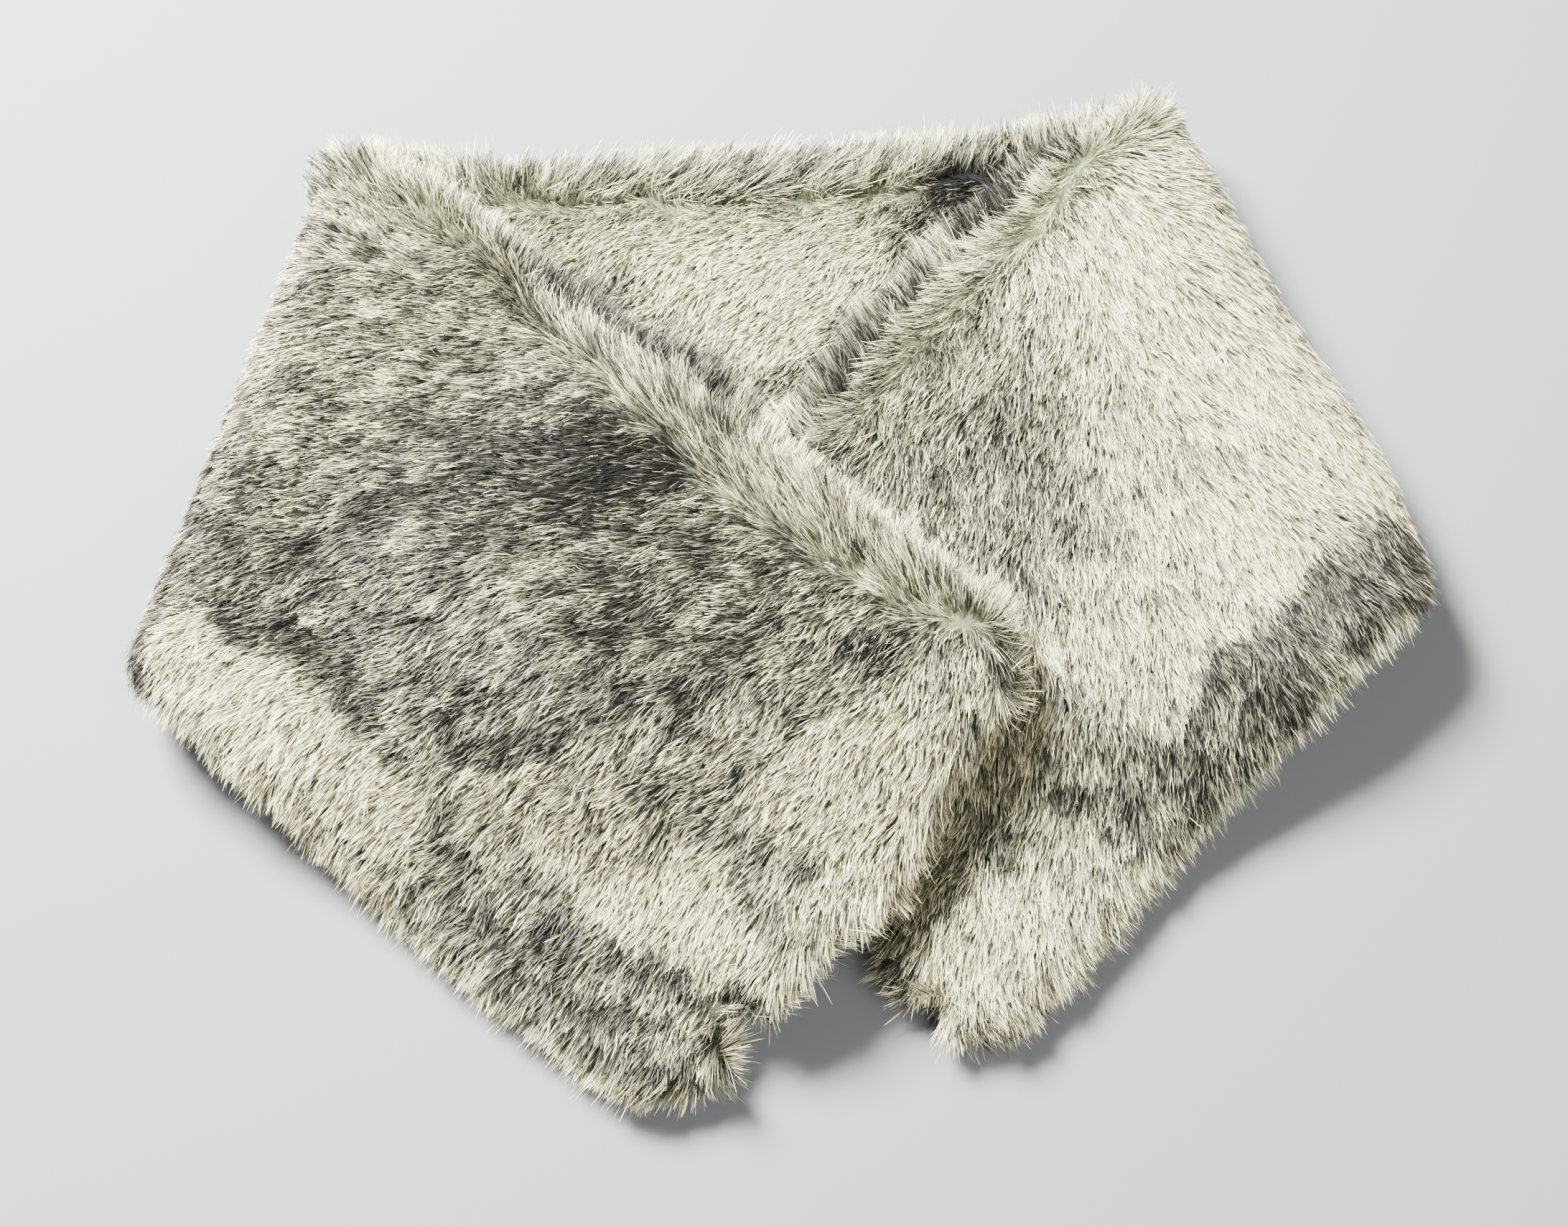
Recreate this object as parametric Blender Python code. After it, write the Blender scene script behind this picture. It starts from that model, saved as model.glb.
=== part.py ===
"""A faux fur neck wrap, folded and laid flat as after it has been taken off.

Two long strips of fur cloth, an outer one and an inner one, are laid back to back and sewn along
every edge. The wrap lies on a surface: its back stretch is underneath, and the strip turns over
at a slanted fold on each side, so that the two front stretches come down towards the viewer and
the left one crosses over the right one. Each wall is the backing cloth with the full depth of its
pile. Metres, +Z up, the viewer at -Y, origin under the middle of the whole wrap.
"""

import math
from collections import namedtuple

import bmesh
import bpy

# The rows of the tables below. Value is a length at a place along or across what is named.
Row = namedtuple("Row", ("name", "place", "value"))
Crease = namedtuple("Crease", ("side", "from_end", "across", "length", "slant_deg", "width", "depth"))

# The strip, laid out flat
STRIP_WIDTH = 0.226
HALF_WIDTH = STRIP_WIDTH / 2
BACK_TO_FOLD = {"left": 0.1872, "right": 0.1726}
FOLD_TO_END = {"left": 0.331, "right": 0.306}
CORNER_RADIUS = 0.026

# How it lies
FOLD_SLANT = {"left": math.radians(21.7), "right": math.radians(19.9)}
BACK_TILT = math.radians(3.65)
BACK_MIDDLE_Y = 0.0905

# One layer of fur cloth
BACKING = 0.0015
PILE = 0.0083
WALL = BACKING + PILE
SEAM_GAP = 0.0003
EDGE_ROUNDING = 0.014

# Heights of the seam plane, which lies in the middle between the two layers
BACK_LEVEL = WALL + SEAM_GAP / 2
FOLD_CORE = 0.0004
TIGHT_TURN = BACK_LEVEL + FOLD_CORE
LAYER_PITCH = 2 * TIGHT_TURN

# The stiff cloth comes down slowly where what it lies on ends
OVERHANG = 0.014
DRAPE_LENGTH = 0.080
OPEN_REACH = 0.085

# How much wider than tight each fold turns, from the strip's near edge, -1, to its far edge, 1
TURN_OPENING = (
    Row("left", -1.0, 0.0005),
    Row("left", 0.0, 0.0015),
    Row("left", 1.0, 0.0030),
    Row("right", -1.0, 0.0015),
    Row("right", -0.4, 0.0030),
    Row("right", 1.0, 0.0050),
)

# How far each fold bulges outwards, from the strip's near edge, -1, to its far edge, 1
FOLD_BULGE = (
    Row("left", -1.0, 0.000),
    Row("left", 1.0, 0.003),
    Row("right", -1.0, 0.003),
    Row("right", -0.5, 0.007),
    Row("right", 0.2, 0.001),
    Row("right", 1.0, 0.000),
)

# The share of its reach that a fold loses at its two ends, where its corners are round
FOLD_CORNER_LOSS = 0.4

# How far the long edges stray outwards, by the share of the way along each stretch
EDGE_STRAY = (
    Row("left far", 0.00, 0.000),
    Row("left far", 0.12, 0.006),
    Row("left far", 0.48, 0.006),
    Row("left far", 0.66, -0.001),
    Row("left far", 1.00, 0.002),
    Row("left near", 0.00, 0.000),
    Row("left near", 0.55, 0.001),
    Row("left near", 1.00, -0.005),
    Row("right far", 0.00, 0.000),
    Row("right far", 0.14, 0.012),
    Row("right far", 0.26, 0.014),
    Row("right far", 0.40, 0.011),
    Row("right far", 0.60, 0.001),
    Row("right far", 1.00, 0.000),
    Row("right near", 0.00, 0.000),
    Row("right near", 0.35, 0.001),
    Row("right near", 1.00, 0.009),
    Row("back far", 0.00, 0.000),
    Row("back far", 0.18, -0.007),
    Row("back far", 0.82, -0.007),
    Row("back far", 1.00, 0.000),
    Row("back near", 0.00, 0.000),
    Row("back near", 1.00, 0.000),
)

# How far each end strays outwards, by the place across the strip. The steep steps are the
# pinched places where the two ends fasten to each other.
END_STRAY = (
    Row("left", -0.113, -0.003),
    Row("left", -0.077, -0.005),
    Row("left", -0.064, -0.013),
    Row("left", -0.051, -0.001),
    Row("left", -0.020, 0.001),
    Row("left", 0.010, 0.007),
    Row("left", 0.060, 0.001),
    Row("left", 0.113, 0.001),
    Row("right", -0.113, 0.004),
    Row("right", -0.094, 0.003),
    Row("right", -0.086, -0.003),
    Row("right", -0.078, 0.002),
    Row("right", -0.062, 0.000),
    Row("right", -0.053, -0.005),
    Row("right", 0.113, -0.004),
)
END_STRAY_REACH = 0.060

# Soft troughs pressed into the outer face of a front: where each starts, how far it runs away
# from the end, and how it turns towards the far edge
CREASES = (
    Crease("left", 0.000, -0.064, 0.046, 7.0, 0.009, 0.0058),
    Crease("left", 0.046, -0.059, 0.030, 35.0, 0.012, 0.0030),
    Crease("right", 0.012, -0.086, 0.020, 0.0, 0.009, 0.0055),
    Crease("right", 0.000, -0.054, 0.060, 4.0, 0.010, 0.0020),
)
PINCH_PLACES = {"left": -0.064, "right": -0.086}
PINCH_STEP = 0.0055

# Grid steps
EDGE_STEPS = 4
ACROSS_STEP = 0.0165
BACK_STEPS = 16
FOLD_STEPS = 10
FRONT_STEPS = 16
CORNER_STEPS = 6


def unit(angle):
    """The plan direction at an angle from the strip's own length, turned with the back stretch."""
    return math.cos(angle + BACK_TILT), math.sin(angle + BACK_TILT)


def ease(share):
    """A smooth step from 0 to 1."""
    share = min(max(share, 0.0), 1.0)
    return share * share * (3 - 2 * share)


def read(table, name, place):
    """The value at a place between a table's rows of this name."""
    rows = [row for row in table if row.name == name]
    for low, high in zip(rows, rows[1:]):
        if place <= high.place:
            share = (place - low.place) / (high.place - low.place)
            return low.value + (high.value - low.value) * ease(share)
    return rows[-1].value


def round_off(distance):
    """How full the pile is at this distance in from an edge, from 0 to 1, as a quarter ellipse."""
    left = min(max(1 - distance / EDGE_ROUNDING, 0.0), 1.0)
    return math.sqrt(1 - left * left)


def pile_depth(*distances):
    """The wall's thickness at these distances in from its edges."""
    return BACKING + PILE * math.prod(round_off(distance) for distance in distances)


def half_width(from_end):
    """The strip's half width at this distance from its end, where its corners are round."""
    short = max(0.0, CORNER_RADIUS - from_end)
    return HALF_WIDTH - CORNER_RADIUS + math.sqrt(CORNER_RADIUS**2 - short**2)


def strayed(stretch, share, v):
    """The place across the strip, moved with the edge on its side where that isn't straight."""
    edge = f"{stretch} {'far' if v > 0 else 'near'}"
    return v * (1 + read(EDGE_STRAY, edge, share) / HALF_WIDTH)


def plan_of_back(u, v):
    """The plan place of a point of the back stretch, u along the strip and v across it."""
    lengthways, across = unit(0), unit(math.pi / 2)
    return (
        u * lengthways[0] + v * across[0],
        BACK_MIDDLE_Y + u * lengthways[1] + v * across[1],
    )


def across_back(x, y):
    """How far a plan place lies from the back stretch's centre line, towards its far edge."""
    across = unit(math.pi / 2)
    return x * across[0] + (y - BACK_MIDDLE_Y) * across[1]


def over_back(x, y):
    """1 where the back stretch lies underneath, easing to 0 as the cloth comes down beside it."""
    beyond = -across_back(x, y) - HALF_WIDTH - OVERHANG
    return 1 - ease(beyond / DRAPE_LENGTH)


class Fold:
    """A slanted turn of the strip, and the front stretch that it leads to."""

    def __init__(self, side):
        self.side = side
        self.hand = -1 if side == "left" else 1
        self.slant = FOLD_SLANT[side]
        self.start = self.hand * BACK_TO_FOLD[side]
        self.flat_length = FOLD_TO_END[side]
        # Along the fold, away from the viewer, and outwards across it
        self.axis = unit(math.pi / 2 + self.hand * self.slant)
        self.outward = unit(self.slant if side == "right" else math.pi - self.slant)
        self.base = plan_of_back(self.start, 0)

    def turn(self, v):
        """The radius of the seam plane where it turns."""
        return TIGHT_TURN + read(TURN_OPENING, self.side, v / HALF_WIDTH)

    def reach(self, v, radius):
        """How far a layer at this radius reaches outwards where the turn is widest."""
        kept = 1 - FOLD_CORNER_LOSS * (1 - round_off(HALF_WIDTH - abs(v)))
        return radius * kept + read(FOLD_BULGE, self.side, v / HALF_WIDTH)

    def fold_line(self, v):
        """Where the turn begins, along the strip, at a place v across it."""
        return self.start - self.hand * v * math.tan(self.slant)

    def along(self, travel, v):
        """The place along the fold of a point this far past the line where the turn begins."""
        return v / math.cos(self.slant) - travel * math.tan(self.slant)

    def plan(self, along, outwards):
        """A plan place from its distances along the fold and outwards across it."""
        return (
            self.base[0] + along * self.axis[0] + outwards * self.outward[0],
            self.base[1] + along * self.axis[1] + outwards * self.outward[1],
        )

    def end_travel(self, v):
        """How far the strip's end is past the line where the turn begins, square to it."""
        return v * math.sin(self.slant) + self.flat_length * math.cos(self.slant)

    def front_plan(self, from_end, v):
        """The plan place of a point of the front, and how far it is past the turn."""
        travel = self.end_travel(v) - from_end * math.cos(self.slant)
        past = travel - math.pi * self.turn(v)
        return *self.plan(self.along(travel, v), -past), past

    def front_length(self, v):
        """The front's length along the strip, from the end of the turn to the free end."""
        return (self.end_travel(v) - math.pi * self.turn(v)) / math.cos(self.slant)

    def over_front(self, x, y):
        """1 where this front lies underneath, easing to 0 beyond its end and its far edge."""
        end, inside = self.front_plan(0, 0), self.front_plan(0.1, 0)
        run = (inside[0] - end[0], inside[1] - end[1])
        size = math.hypot(*run)
        offset = ((x - end[0]) / size, (y - end[1]) / size)
        from_end = offset[0] * run[0] + offset[1] * run[1]
        towards_far = self.hand * (offset[1] * run[0] - offset[0] * run[1])
        beyond = math.hypot(max(-from_end, 0), max(towards_far - HALF_WIDTH - OVERHANG, 0))
        return 1 - ease(beyond / DRAPE_LENGTH)


def crease_depth(side, from_end, v):
    """How far the creases press the pile down here."""
    pressed = 0.0
    for crease in CREASES:
        if crease.side != side:
            continue
        slant = math.radians(crease.slant_deg)
        offset = (from_end - crease.from_end, v - crease.across)
        run = offset[0] * math.cos(slant) + offset[1] * math.sin(slant)
        off = -offset[0] * math.sin(slant) + offset[1] * math.cos(slant)
        past = max(0.0, -run, run - crease.length)
        reach = math.hypot(past, off) / crease.width
        pressed = max(pressed, crease.depth * math.exp(-reach * reach))
    return pressed


def across_places(pinch=None):
    """Places across the strip, closer together where its edges round off and at a pinch."""
    edge = [
        EDGE_ROUNDING * (1 - math.cos(math.pi / 2 * step / EDGE_STEPS))
        for step in range(EDGE_STEPS + 1)
    ]
    inner = HALF_WIDTH - EDGE_ROUNDING
    steps = round(2 * inner / ACROSS_STEP)
    middle = [-inner + 2 * inner * step / steps for step in range(1, steps)]
    if pinch is not None:
        close = [pinch + step * PINCH_STEP for step in range(-2, 3)]
        middle = [v for v in middle if abs(v - pinch) > 3 * PINCH_STEP]
        middle = sorted(middle + [v for v in close if abs(v) < inner - PINCH_STEP / 2])
    return [d - HALF_WIDTH for d in edge] + middle + [HALF_WIDTH - d for d in reversed(edge)]


def wall_pair(depth, facing):
    """Heights, from the seam plane, of a wall's seam face and of its fur face."""
    return facing * SEAM_GAP / 2, facing * (SEAM_GAP / 2 + depth)


def back_wall(left, right, facing):
    """Rows of (seam point, fur point) of the back stretch. Facing is 1 for the inner strip."""
    rows = []
    for step in range(BACK_STEPS + 1):
        share = step / BACK_STEPS
        row = []
        for v in across_places():
            low, high = left.fold_line(v), right.fold_line(v)
            place = plan_of_back(low + (high - low) * share, strayed("back", share, v))
            offsets = wall_pair(pile_depth(HALF_WIDTH - abs(v)), facing)
            row.append([(*place, BACK_LEVEL + offset) for offset in offsets])
        rows.append(row)
    return rows


def fold_point(fold, share, v, offset):
    """A point of a turn. The offset is outwards from the seam plane."""
    angle = math.pi * share
    turn = fold.turn(v)
    outwards = SEAM_GAP + fold.reach(v, turn + offset) * math.sin(angle)
    height = BACK_LEVEL + turn - (turn + offset) * math.cos(angle)
    return *fold.plan(fold.along(math.pi * turn * share, v), outwards), height


def fold_wall(fold, facing):
    """Rows of (seam point, fur point) of a turn. Facing is 1 for the outer strip."""
    rows = []
    for step in range(FOLD_STEPS + 1):
        share = step / FOLD_STEPS
        row = []
        for v in across_places():
            offsets = wall_pair(pile_depth(HALF_WIDTH - abs(v)), facing)
            row.append([fold_point(fold, share, v, offset) for offset in offsets])
        rows.append(row)
    return rows


def front_rows():
    """For each row of a front, its share of the way to the round corners and its distance from
    the end once it is there."""
    plain = [(step / FRONT_STEPS, None) for step in range(FRONT_STEPS)]
    corner = [
        (1.0, CORNER_RADIUS * (1 - math.cos(math.pi / 2 * step / CORNER_STEPS)))
        for step in range(CORNER_STEPS, -1, -1)
    ]
    return plain + corner


def front_wall(fold, under, facing):
    """Rows of (seam point, fur point) of a front. Facing is 1 for the outer strip, and under is
    the fold of the front that lies beneath this one, if one does."""
    rows = []
    for share, corner in front_rows():
        row = []
        for place in across_places(PINCH_PLACES[fold.side]):
            half = HALF_WIDTH if corner is None else half_width(corner)
            v = place * half / HALF_WIDTH
            length = fold.front_length(v)
            from_end = length + (CORNER_RADIUS - length) * share if corner is None else corner
            fade = 1 - ease(from_end / END_STRAY_REACH)
            moved_end = from_end - read(END_STRAY, fold.side, v) * fade
            moved_v = strayed(fold.side, 1 - from_end / length, v)
            x, y, past = fold.front_plan(moved_end, moved_v)
            level = BACK_LEVEL + LAYER_PITCH * over_back(x, y)
            level += 2 * (fold.turn(v) - TIGHT_TURN) * (1 - ease(past / OPEN_REACH))
            if under:
                level += LAYER_PITCH * under.over_front(x, y)
            depth = pile_depth(half - abs(v), from_end)
            if facing > 0:
                depth = max(BACKING, depth - crease_depth(fold.side, from_end, v))
            row.append([(x, y, level + offset) for offset in wall_pair(depth, facing)])
        rows.append(row)
    return rows


def wall_object(name, rows, material):
    """A closed wall between its seam face and its fur face, with its four edges."""
    mesh = bmesh.new()
    seam, fur = ([[mesh.verts.new(pair[k]) for pair in row] for row in rows] for k in (0, 1))
    last_row, last_place = len(rows) - 1, len(rows[0]) - 1
    for i in range(last_row):
        for j in range(last_place):
            for grid in (fur, seam):
                corners = (grid[i][j], grid[i + 1][j], grid[i + 1][j + 1], grid[i][j + 1])
                mesh.faces.new(corners[:3])
                mesh.faces.new((corners[0], *corners[2:]))
    rim = [(i, 0) for i in range(last_row)]
    rim += [(last_row, j) for j in range(last_place)]
    rim += [(i, last_place) for i in range(last_row, 0, -1)]
    rim += [(0, j) for j in range(last_place, 0, -1)]
    for (i, j), (k, m) in zip(rim, rim[1:] + rim[:1]):
        mesh.faces.new((fur[i][j], seam[i][j], seam[k][m]))
        mesh.faces.new((fur[i][j], seam[k][m], fur[k][m]))
    bmesh.ops.recalc_face_normals(mesh, faces=mesh.faces)
    data = bpy.data.meshes.new(name)
    mesh.to_mesh(data)
    mesh.free()
    data.shade_smooth()
    data.set_sharp_from_angle(angle=math.radians(40))
    data.materials.append(material)
    part = bpy.data.objects.new(name, data)
    bpy.context.scene.collection.objects.link(part)
    return part


def fur_material(name, colour):
    """A rough cloth finish of one colour."""
    material = bpy.data.materials.new(name)
    material.use_nodes = True
    shader = material.node_tree.nodes["Principled BSDF"]
    shader.inputs["Base Color"].default_value = (*colour, 1)
    shader.inputs["Roughness"].default_value = 0.9
    shader.inputs["Metallic"].default_value = 0.0
    return material


def centre_on_origin(parts):
    """Moves the meshes so that the origin is under the middle of the whole wrap."""
    points = [vertex.co for part in parts for vertex in part.data.vertices]
    low, high = ([pick(p[k] for p in points) for k in range(3)] for pick in (min, max))
    shift = ((low[0] + high[0]) / 2, (low[1] + high[1]) / 2, low[2])
    for part in parts:
        for vertex in part.data.vertices:
            vertex.co = [vertex.co[k] - shift[k] for k in range(3)]
    return shift


def build():
    """Clears the scene and builds the ten stretches of fur cloth."""
    for old in list(bpy.data.objects):
        bpy.data.objects.remove(old)
    outer = fur_material("outer_fur", (0.55, 0.54, 0.48))
    inner = fur_material("inner_fur", (0.62, 0.60, 0.52))
    left, right = Fold("left"), Fold("right")
    parts = [
        wall_object("outer_back", back_wall(left, right, -1), outer),
        wall_object("inner_back", back_wall(left, right, 1), inner),
    ]
    for fold, under in ((left, right), (right, None)):
        side = fold.side
        parts += [
            wall_object(f"outer_{side}_fold", fold_wall(fold, 1), outer),
            wall_object(f"inner_{side}_fold", fold_wall(fold, -1), inner),
            wall_object(f"outer_{side}_front", front_wall(fold, under, 1), outer),
            wall_object(f"inner_{side}_front", front_wall(fold, under, -1), inner),
        ]
    return centre_on_origin(parts)


build()
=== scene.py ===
"""The looks of the faux fur neck wrap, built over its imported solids.

The wrap is one long strip of fur cloth with a pile on both faces. It lies flat: the back stretch is
underneath, and the strip turns over at a slanted fold on each side, so that its two fronts come
down towards the viewer, the left one over the right one. Each of its two layers of cloth is a thin
closed shell in the space of its five solids, and the pile stands on it as joined meshes of narrow
bent blades, gathered in locks. Metres, +Z up, the viewer at -Y.
"""

import logging
import math
from dataclasses import dataclass
from enum import Enum
from functools import cached_property
from typing import NamedTuple

import bpy
import numpy as np
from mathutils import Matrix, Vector
from mathutils.bvhtree import BVHTree
from mathutils.kdtree import KDTree


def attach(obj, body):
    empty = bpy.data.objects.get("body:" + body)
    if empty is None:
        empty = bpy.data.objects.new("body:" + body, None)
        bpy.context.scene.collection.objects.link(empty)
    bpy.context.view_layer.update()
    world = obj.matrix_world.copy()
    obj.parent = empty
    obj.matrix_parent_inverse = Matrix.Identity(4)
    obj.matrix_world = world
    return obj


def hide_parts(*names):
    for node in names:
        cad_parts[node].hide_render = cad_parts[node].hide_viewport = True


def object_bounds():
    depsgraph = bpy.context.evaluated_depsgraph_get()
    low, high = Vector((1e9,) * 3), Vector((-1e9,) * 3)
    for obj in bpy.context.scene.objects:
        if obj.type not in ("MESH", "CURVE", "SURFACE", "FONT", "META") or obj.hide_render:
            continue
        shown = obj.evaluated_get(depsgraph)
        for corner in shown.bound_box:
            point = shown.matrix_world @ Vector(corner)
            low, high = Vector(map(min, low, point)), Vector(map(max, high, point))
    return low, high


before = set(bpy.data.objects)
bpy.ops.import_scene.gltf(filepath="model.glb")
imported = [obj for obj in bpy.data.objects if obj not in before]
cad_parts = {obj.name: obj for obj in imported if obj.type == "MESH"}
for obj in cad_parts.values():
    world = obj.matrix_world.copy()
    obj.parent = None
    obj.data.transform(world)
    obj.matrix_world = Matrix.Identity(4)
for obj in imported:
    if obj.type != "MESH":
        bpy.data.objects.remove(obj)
CAD_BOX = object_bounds()

logging.basicConfig(level=logging.INFO, format="%(message)s")
LOG = logging.getLogger("neck_wrap")

Numbers = np.ndarray
Colour = tuple[float, float, float]
MM = 0.001
TINY = 1e-9
LOWEST, HIGHEST = 0.0002, CAD_BOX[1][2] + 0.0095
WIDEST = 0.995
OPEN_ENOUGH = 0.22
RAGGED = 0.0040
HAIRS_PER_AREA = 2.45e6
HAIR_MAP = "OFBake"
HAIR_TOP, SLIVER, KNEE_LOSS, TIP_LOSS = 0.995, 0.004, 0.34, 0.08
PATCH_RIM, PATCH_FADE = 1.2, 0.45
ARROW_CORE, ARROW_FALL = 30.0, 1.6


class Face(Enum):
    """The two layers of fur cloth, by the face of the wrap that they make."""

    OUTER = "outer"
    INNER = "inner"


class Row(NamedTuple):
    """A length at a place along or across what is named."""

    place: float
    value: float


class Crease(NamedTuple):
    """A soft trough pressed into a front's outer face."""

    from_end: float
    across: float
    length: float
    slant_deg: float
    width: float
    depth: float


class Patch(NamedTuple):
    """A soft patch of one tone, seen in plan, in millimetres. Tone is 0 for cream, 1 for black."""

    x: float
    y: float
    half_length: float
    half_width: float
    turn_deg: float
    tone: float
    strength: float


class Arrow(NamedTuple):
    """The way the hair lies at a place in plan, in millimetres and degrees from +X."""

    x: float
    y: float
    heading_deg: float


class Spot(NamedTuple):
    """A round place in plan, in millimetres, where the roots of a coat show."""

    x: float
    y: float
    radius: float
    strength: float


class Place(NamedTuple):
    """A point in plan, in millimetres, on the parting of a coat."""

    x: float
    y: float


class Tail(NamedTuple):
    """The few hairs or locks whose chance is above a limit, and how much they stand out."""

    above: float
    most: float
    share: float = 1.0

    def of(self, chance: Numbers) -> Numbers:
        """How much each of them stands out."""
        return self.share * np.clip(chance - self.above, 0, self.most)


class Sway(NamedTuple):
    """How much a tone changes by chance, everywhere and besides where it isn't the palest."""

    always: float
    off_pale: float

    def at(self, room: Numbers) -> Numbers:
        """The change where the tone leaves this much room."""
        return self.always + self.off_pale * room


@dataclass(frozen=True)
class Cut:
    """The sizes of the strip and of how it lies, the same as those of the solids."""

    width: float = 0.226
    corner_radius: float = 0.026
    back_tilt: float = math.radians(3.65)
    back_middle_y: float = 0.0905
    backing: float = 0.0015
    pile: float = 0.0083
    seam_gap: float = 0.0003
    edge_rounding: float = 0.014
    fold_core: float = 0.0004
    overhang: float = 0.014
    drape_length: float = 0.080
    open_reach: float = 0.085
    corner_loss: float = 0.4
    end_stray_reach: float = 0.060
    least_backing: float = 0.4
    origin: tuple[float, float] = (-0.0006, 0.0093)

    @property
    def half(self) -> float:
        """Half the strip's width."""
        return self.width / 2

    @property
    def back_level(self) -> float:
        """The height of the seam plane in the back stretch."""
        return self.backing + self.pile + self.seam_gap / 2

    @property
    def tight_turn(self) -> float:
        """The least radius of the seam plane in a fold."""
        return self.back_level + self.fold_core


CUT = Cut()

TURN_OPENING = {
    "left": (Row(-1.0, 0.0005), Row(0.0, 0.0015), Row(1.0, 0.0030)),
    "right": (Row(-1.0, 0.0015), Row(-0.4, 0.0030), Row(1.0, 0.0050)),
}
FOLD_BULGE = {
    "left": (Row(-1.0, 0.000), Row(1.0, 0.003)),
    "right": (Row(-1.0, 0.003), Row(-0.5, 0.007), Row(0.2, 0.001), Row(1.0, 0.000)),
}
EDGE_STRAY = {
    "left far": (
        Row(0.00, 0.000), Row(0.12, 0.006), Row(0.48, 0.006), Row(0.66, -0.001), Row(1.00, 0.002),
    ),
    "left near": (Row(0.00, 0.000), Row(0.55, 0.001), Row(1.00, -0.005)),
    "right far": (
        Row(0.00, 0.000), Row(0.14, 0.012), Row(0.26, 0.014), Row(0.40, 0.011), Row(0.60, 0.001),
        Row(1.00, 0.000),
    ),
    "right near": (Row(0.00, 0.000), Row(0.35, 0.001), Row(1.00, 0.009)),
    "back far": (Row(0.00, 0.000), Row(0.18, -0.007), Row(0.82, -0.007), Row(1.00, 0.000)),
    "back near": (Row(0.00, 0.000), Row(1.00, 0.000)),
}
END_STRAY = {
    "left": (
        Row(-0.113, -0.003), Row(-0.077, -0.005), Row(-0.064, -0.013), Row(-0.051, -0.001),
        Row(-0.020, 0.001), Row(0.010, 0.007), Row(0.060, 0.001), Row(0.113, 0.001),
    ),
    "right": (
        Row(-0.113, 0.004), Row(-0.094, 0.003), Row(-0.086, -0.003), Row(-0.078, 0.002),
        Row(-0.062, 0.000), Row(-0.053, -0.005), Row(0.113, -0.004),
    ),
}
INSETS = {
    "outer far": (
        Row(0.00, 0.0085), Row(0.32, 0.0085), Row(0.42, 0.0165), Row(0.74, 0.0165), Row(0.86, 0.0085),
        Row(4.00, 0.0085), Row(4.22, 0.0185), Row(4.70, 0.0225), Row(5.00, 0.0085),
    ),
    "inner far": (Row(0.00, 0.0080), Row(5.00, 0.0080)),
    "outer near": (Row(0.00, 0.0085), Row(5.00, 0.0085)),
    "inner near": (Row(0.00, 0.0085), Row(5.00, 0.0085)),
}
CREASES = {
    "left": (
        Crease(0.000, -0.064, 0.046, 7.0, 0.009, 0.0058),
        Crease(0.046, -0.059, 0.030, 35.0, 0.012, 0.0030),
    ),
    "right": (
        Crease(0.012, -0.086, 0.020, 0.0, 0.009, 0.0055),
        Crease(0.000, -0.054, 0.060, 4.0, 0.010, 0.0020),
    ),
}

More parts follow.
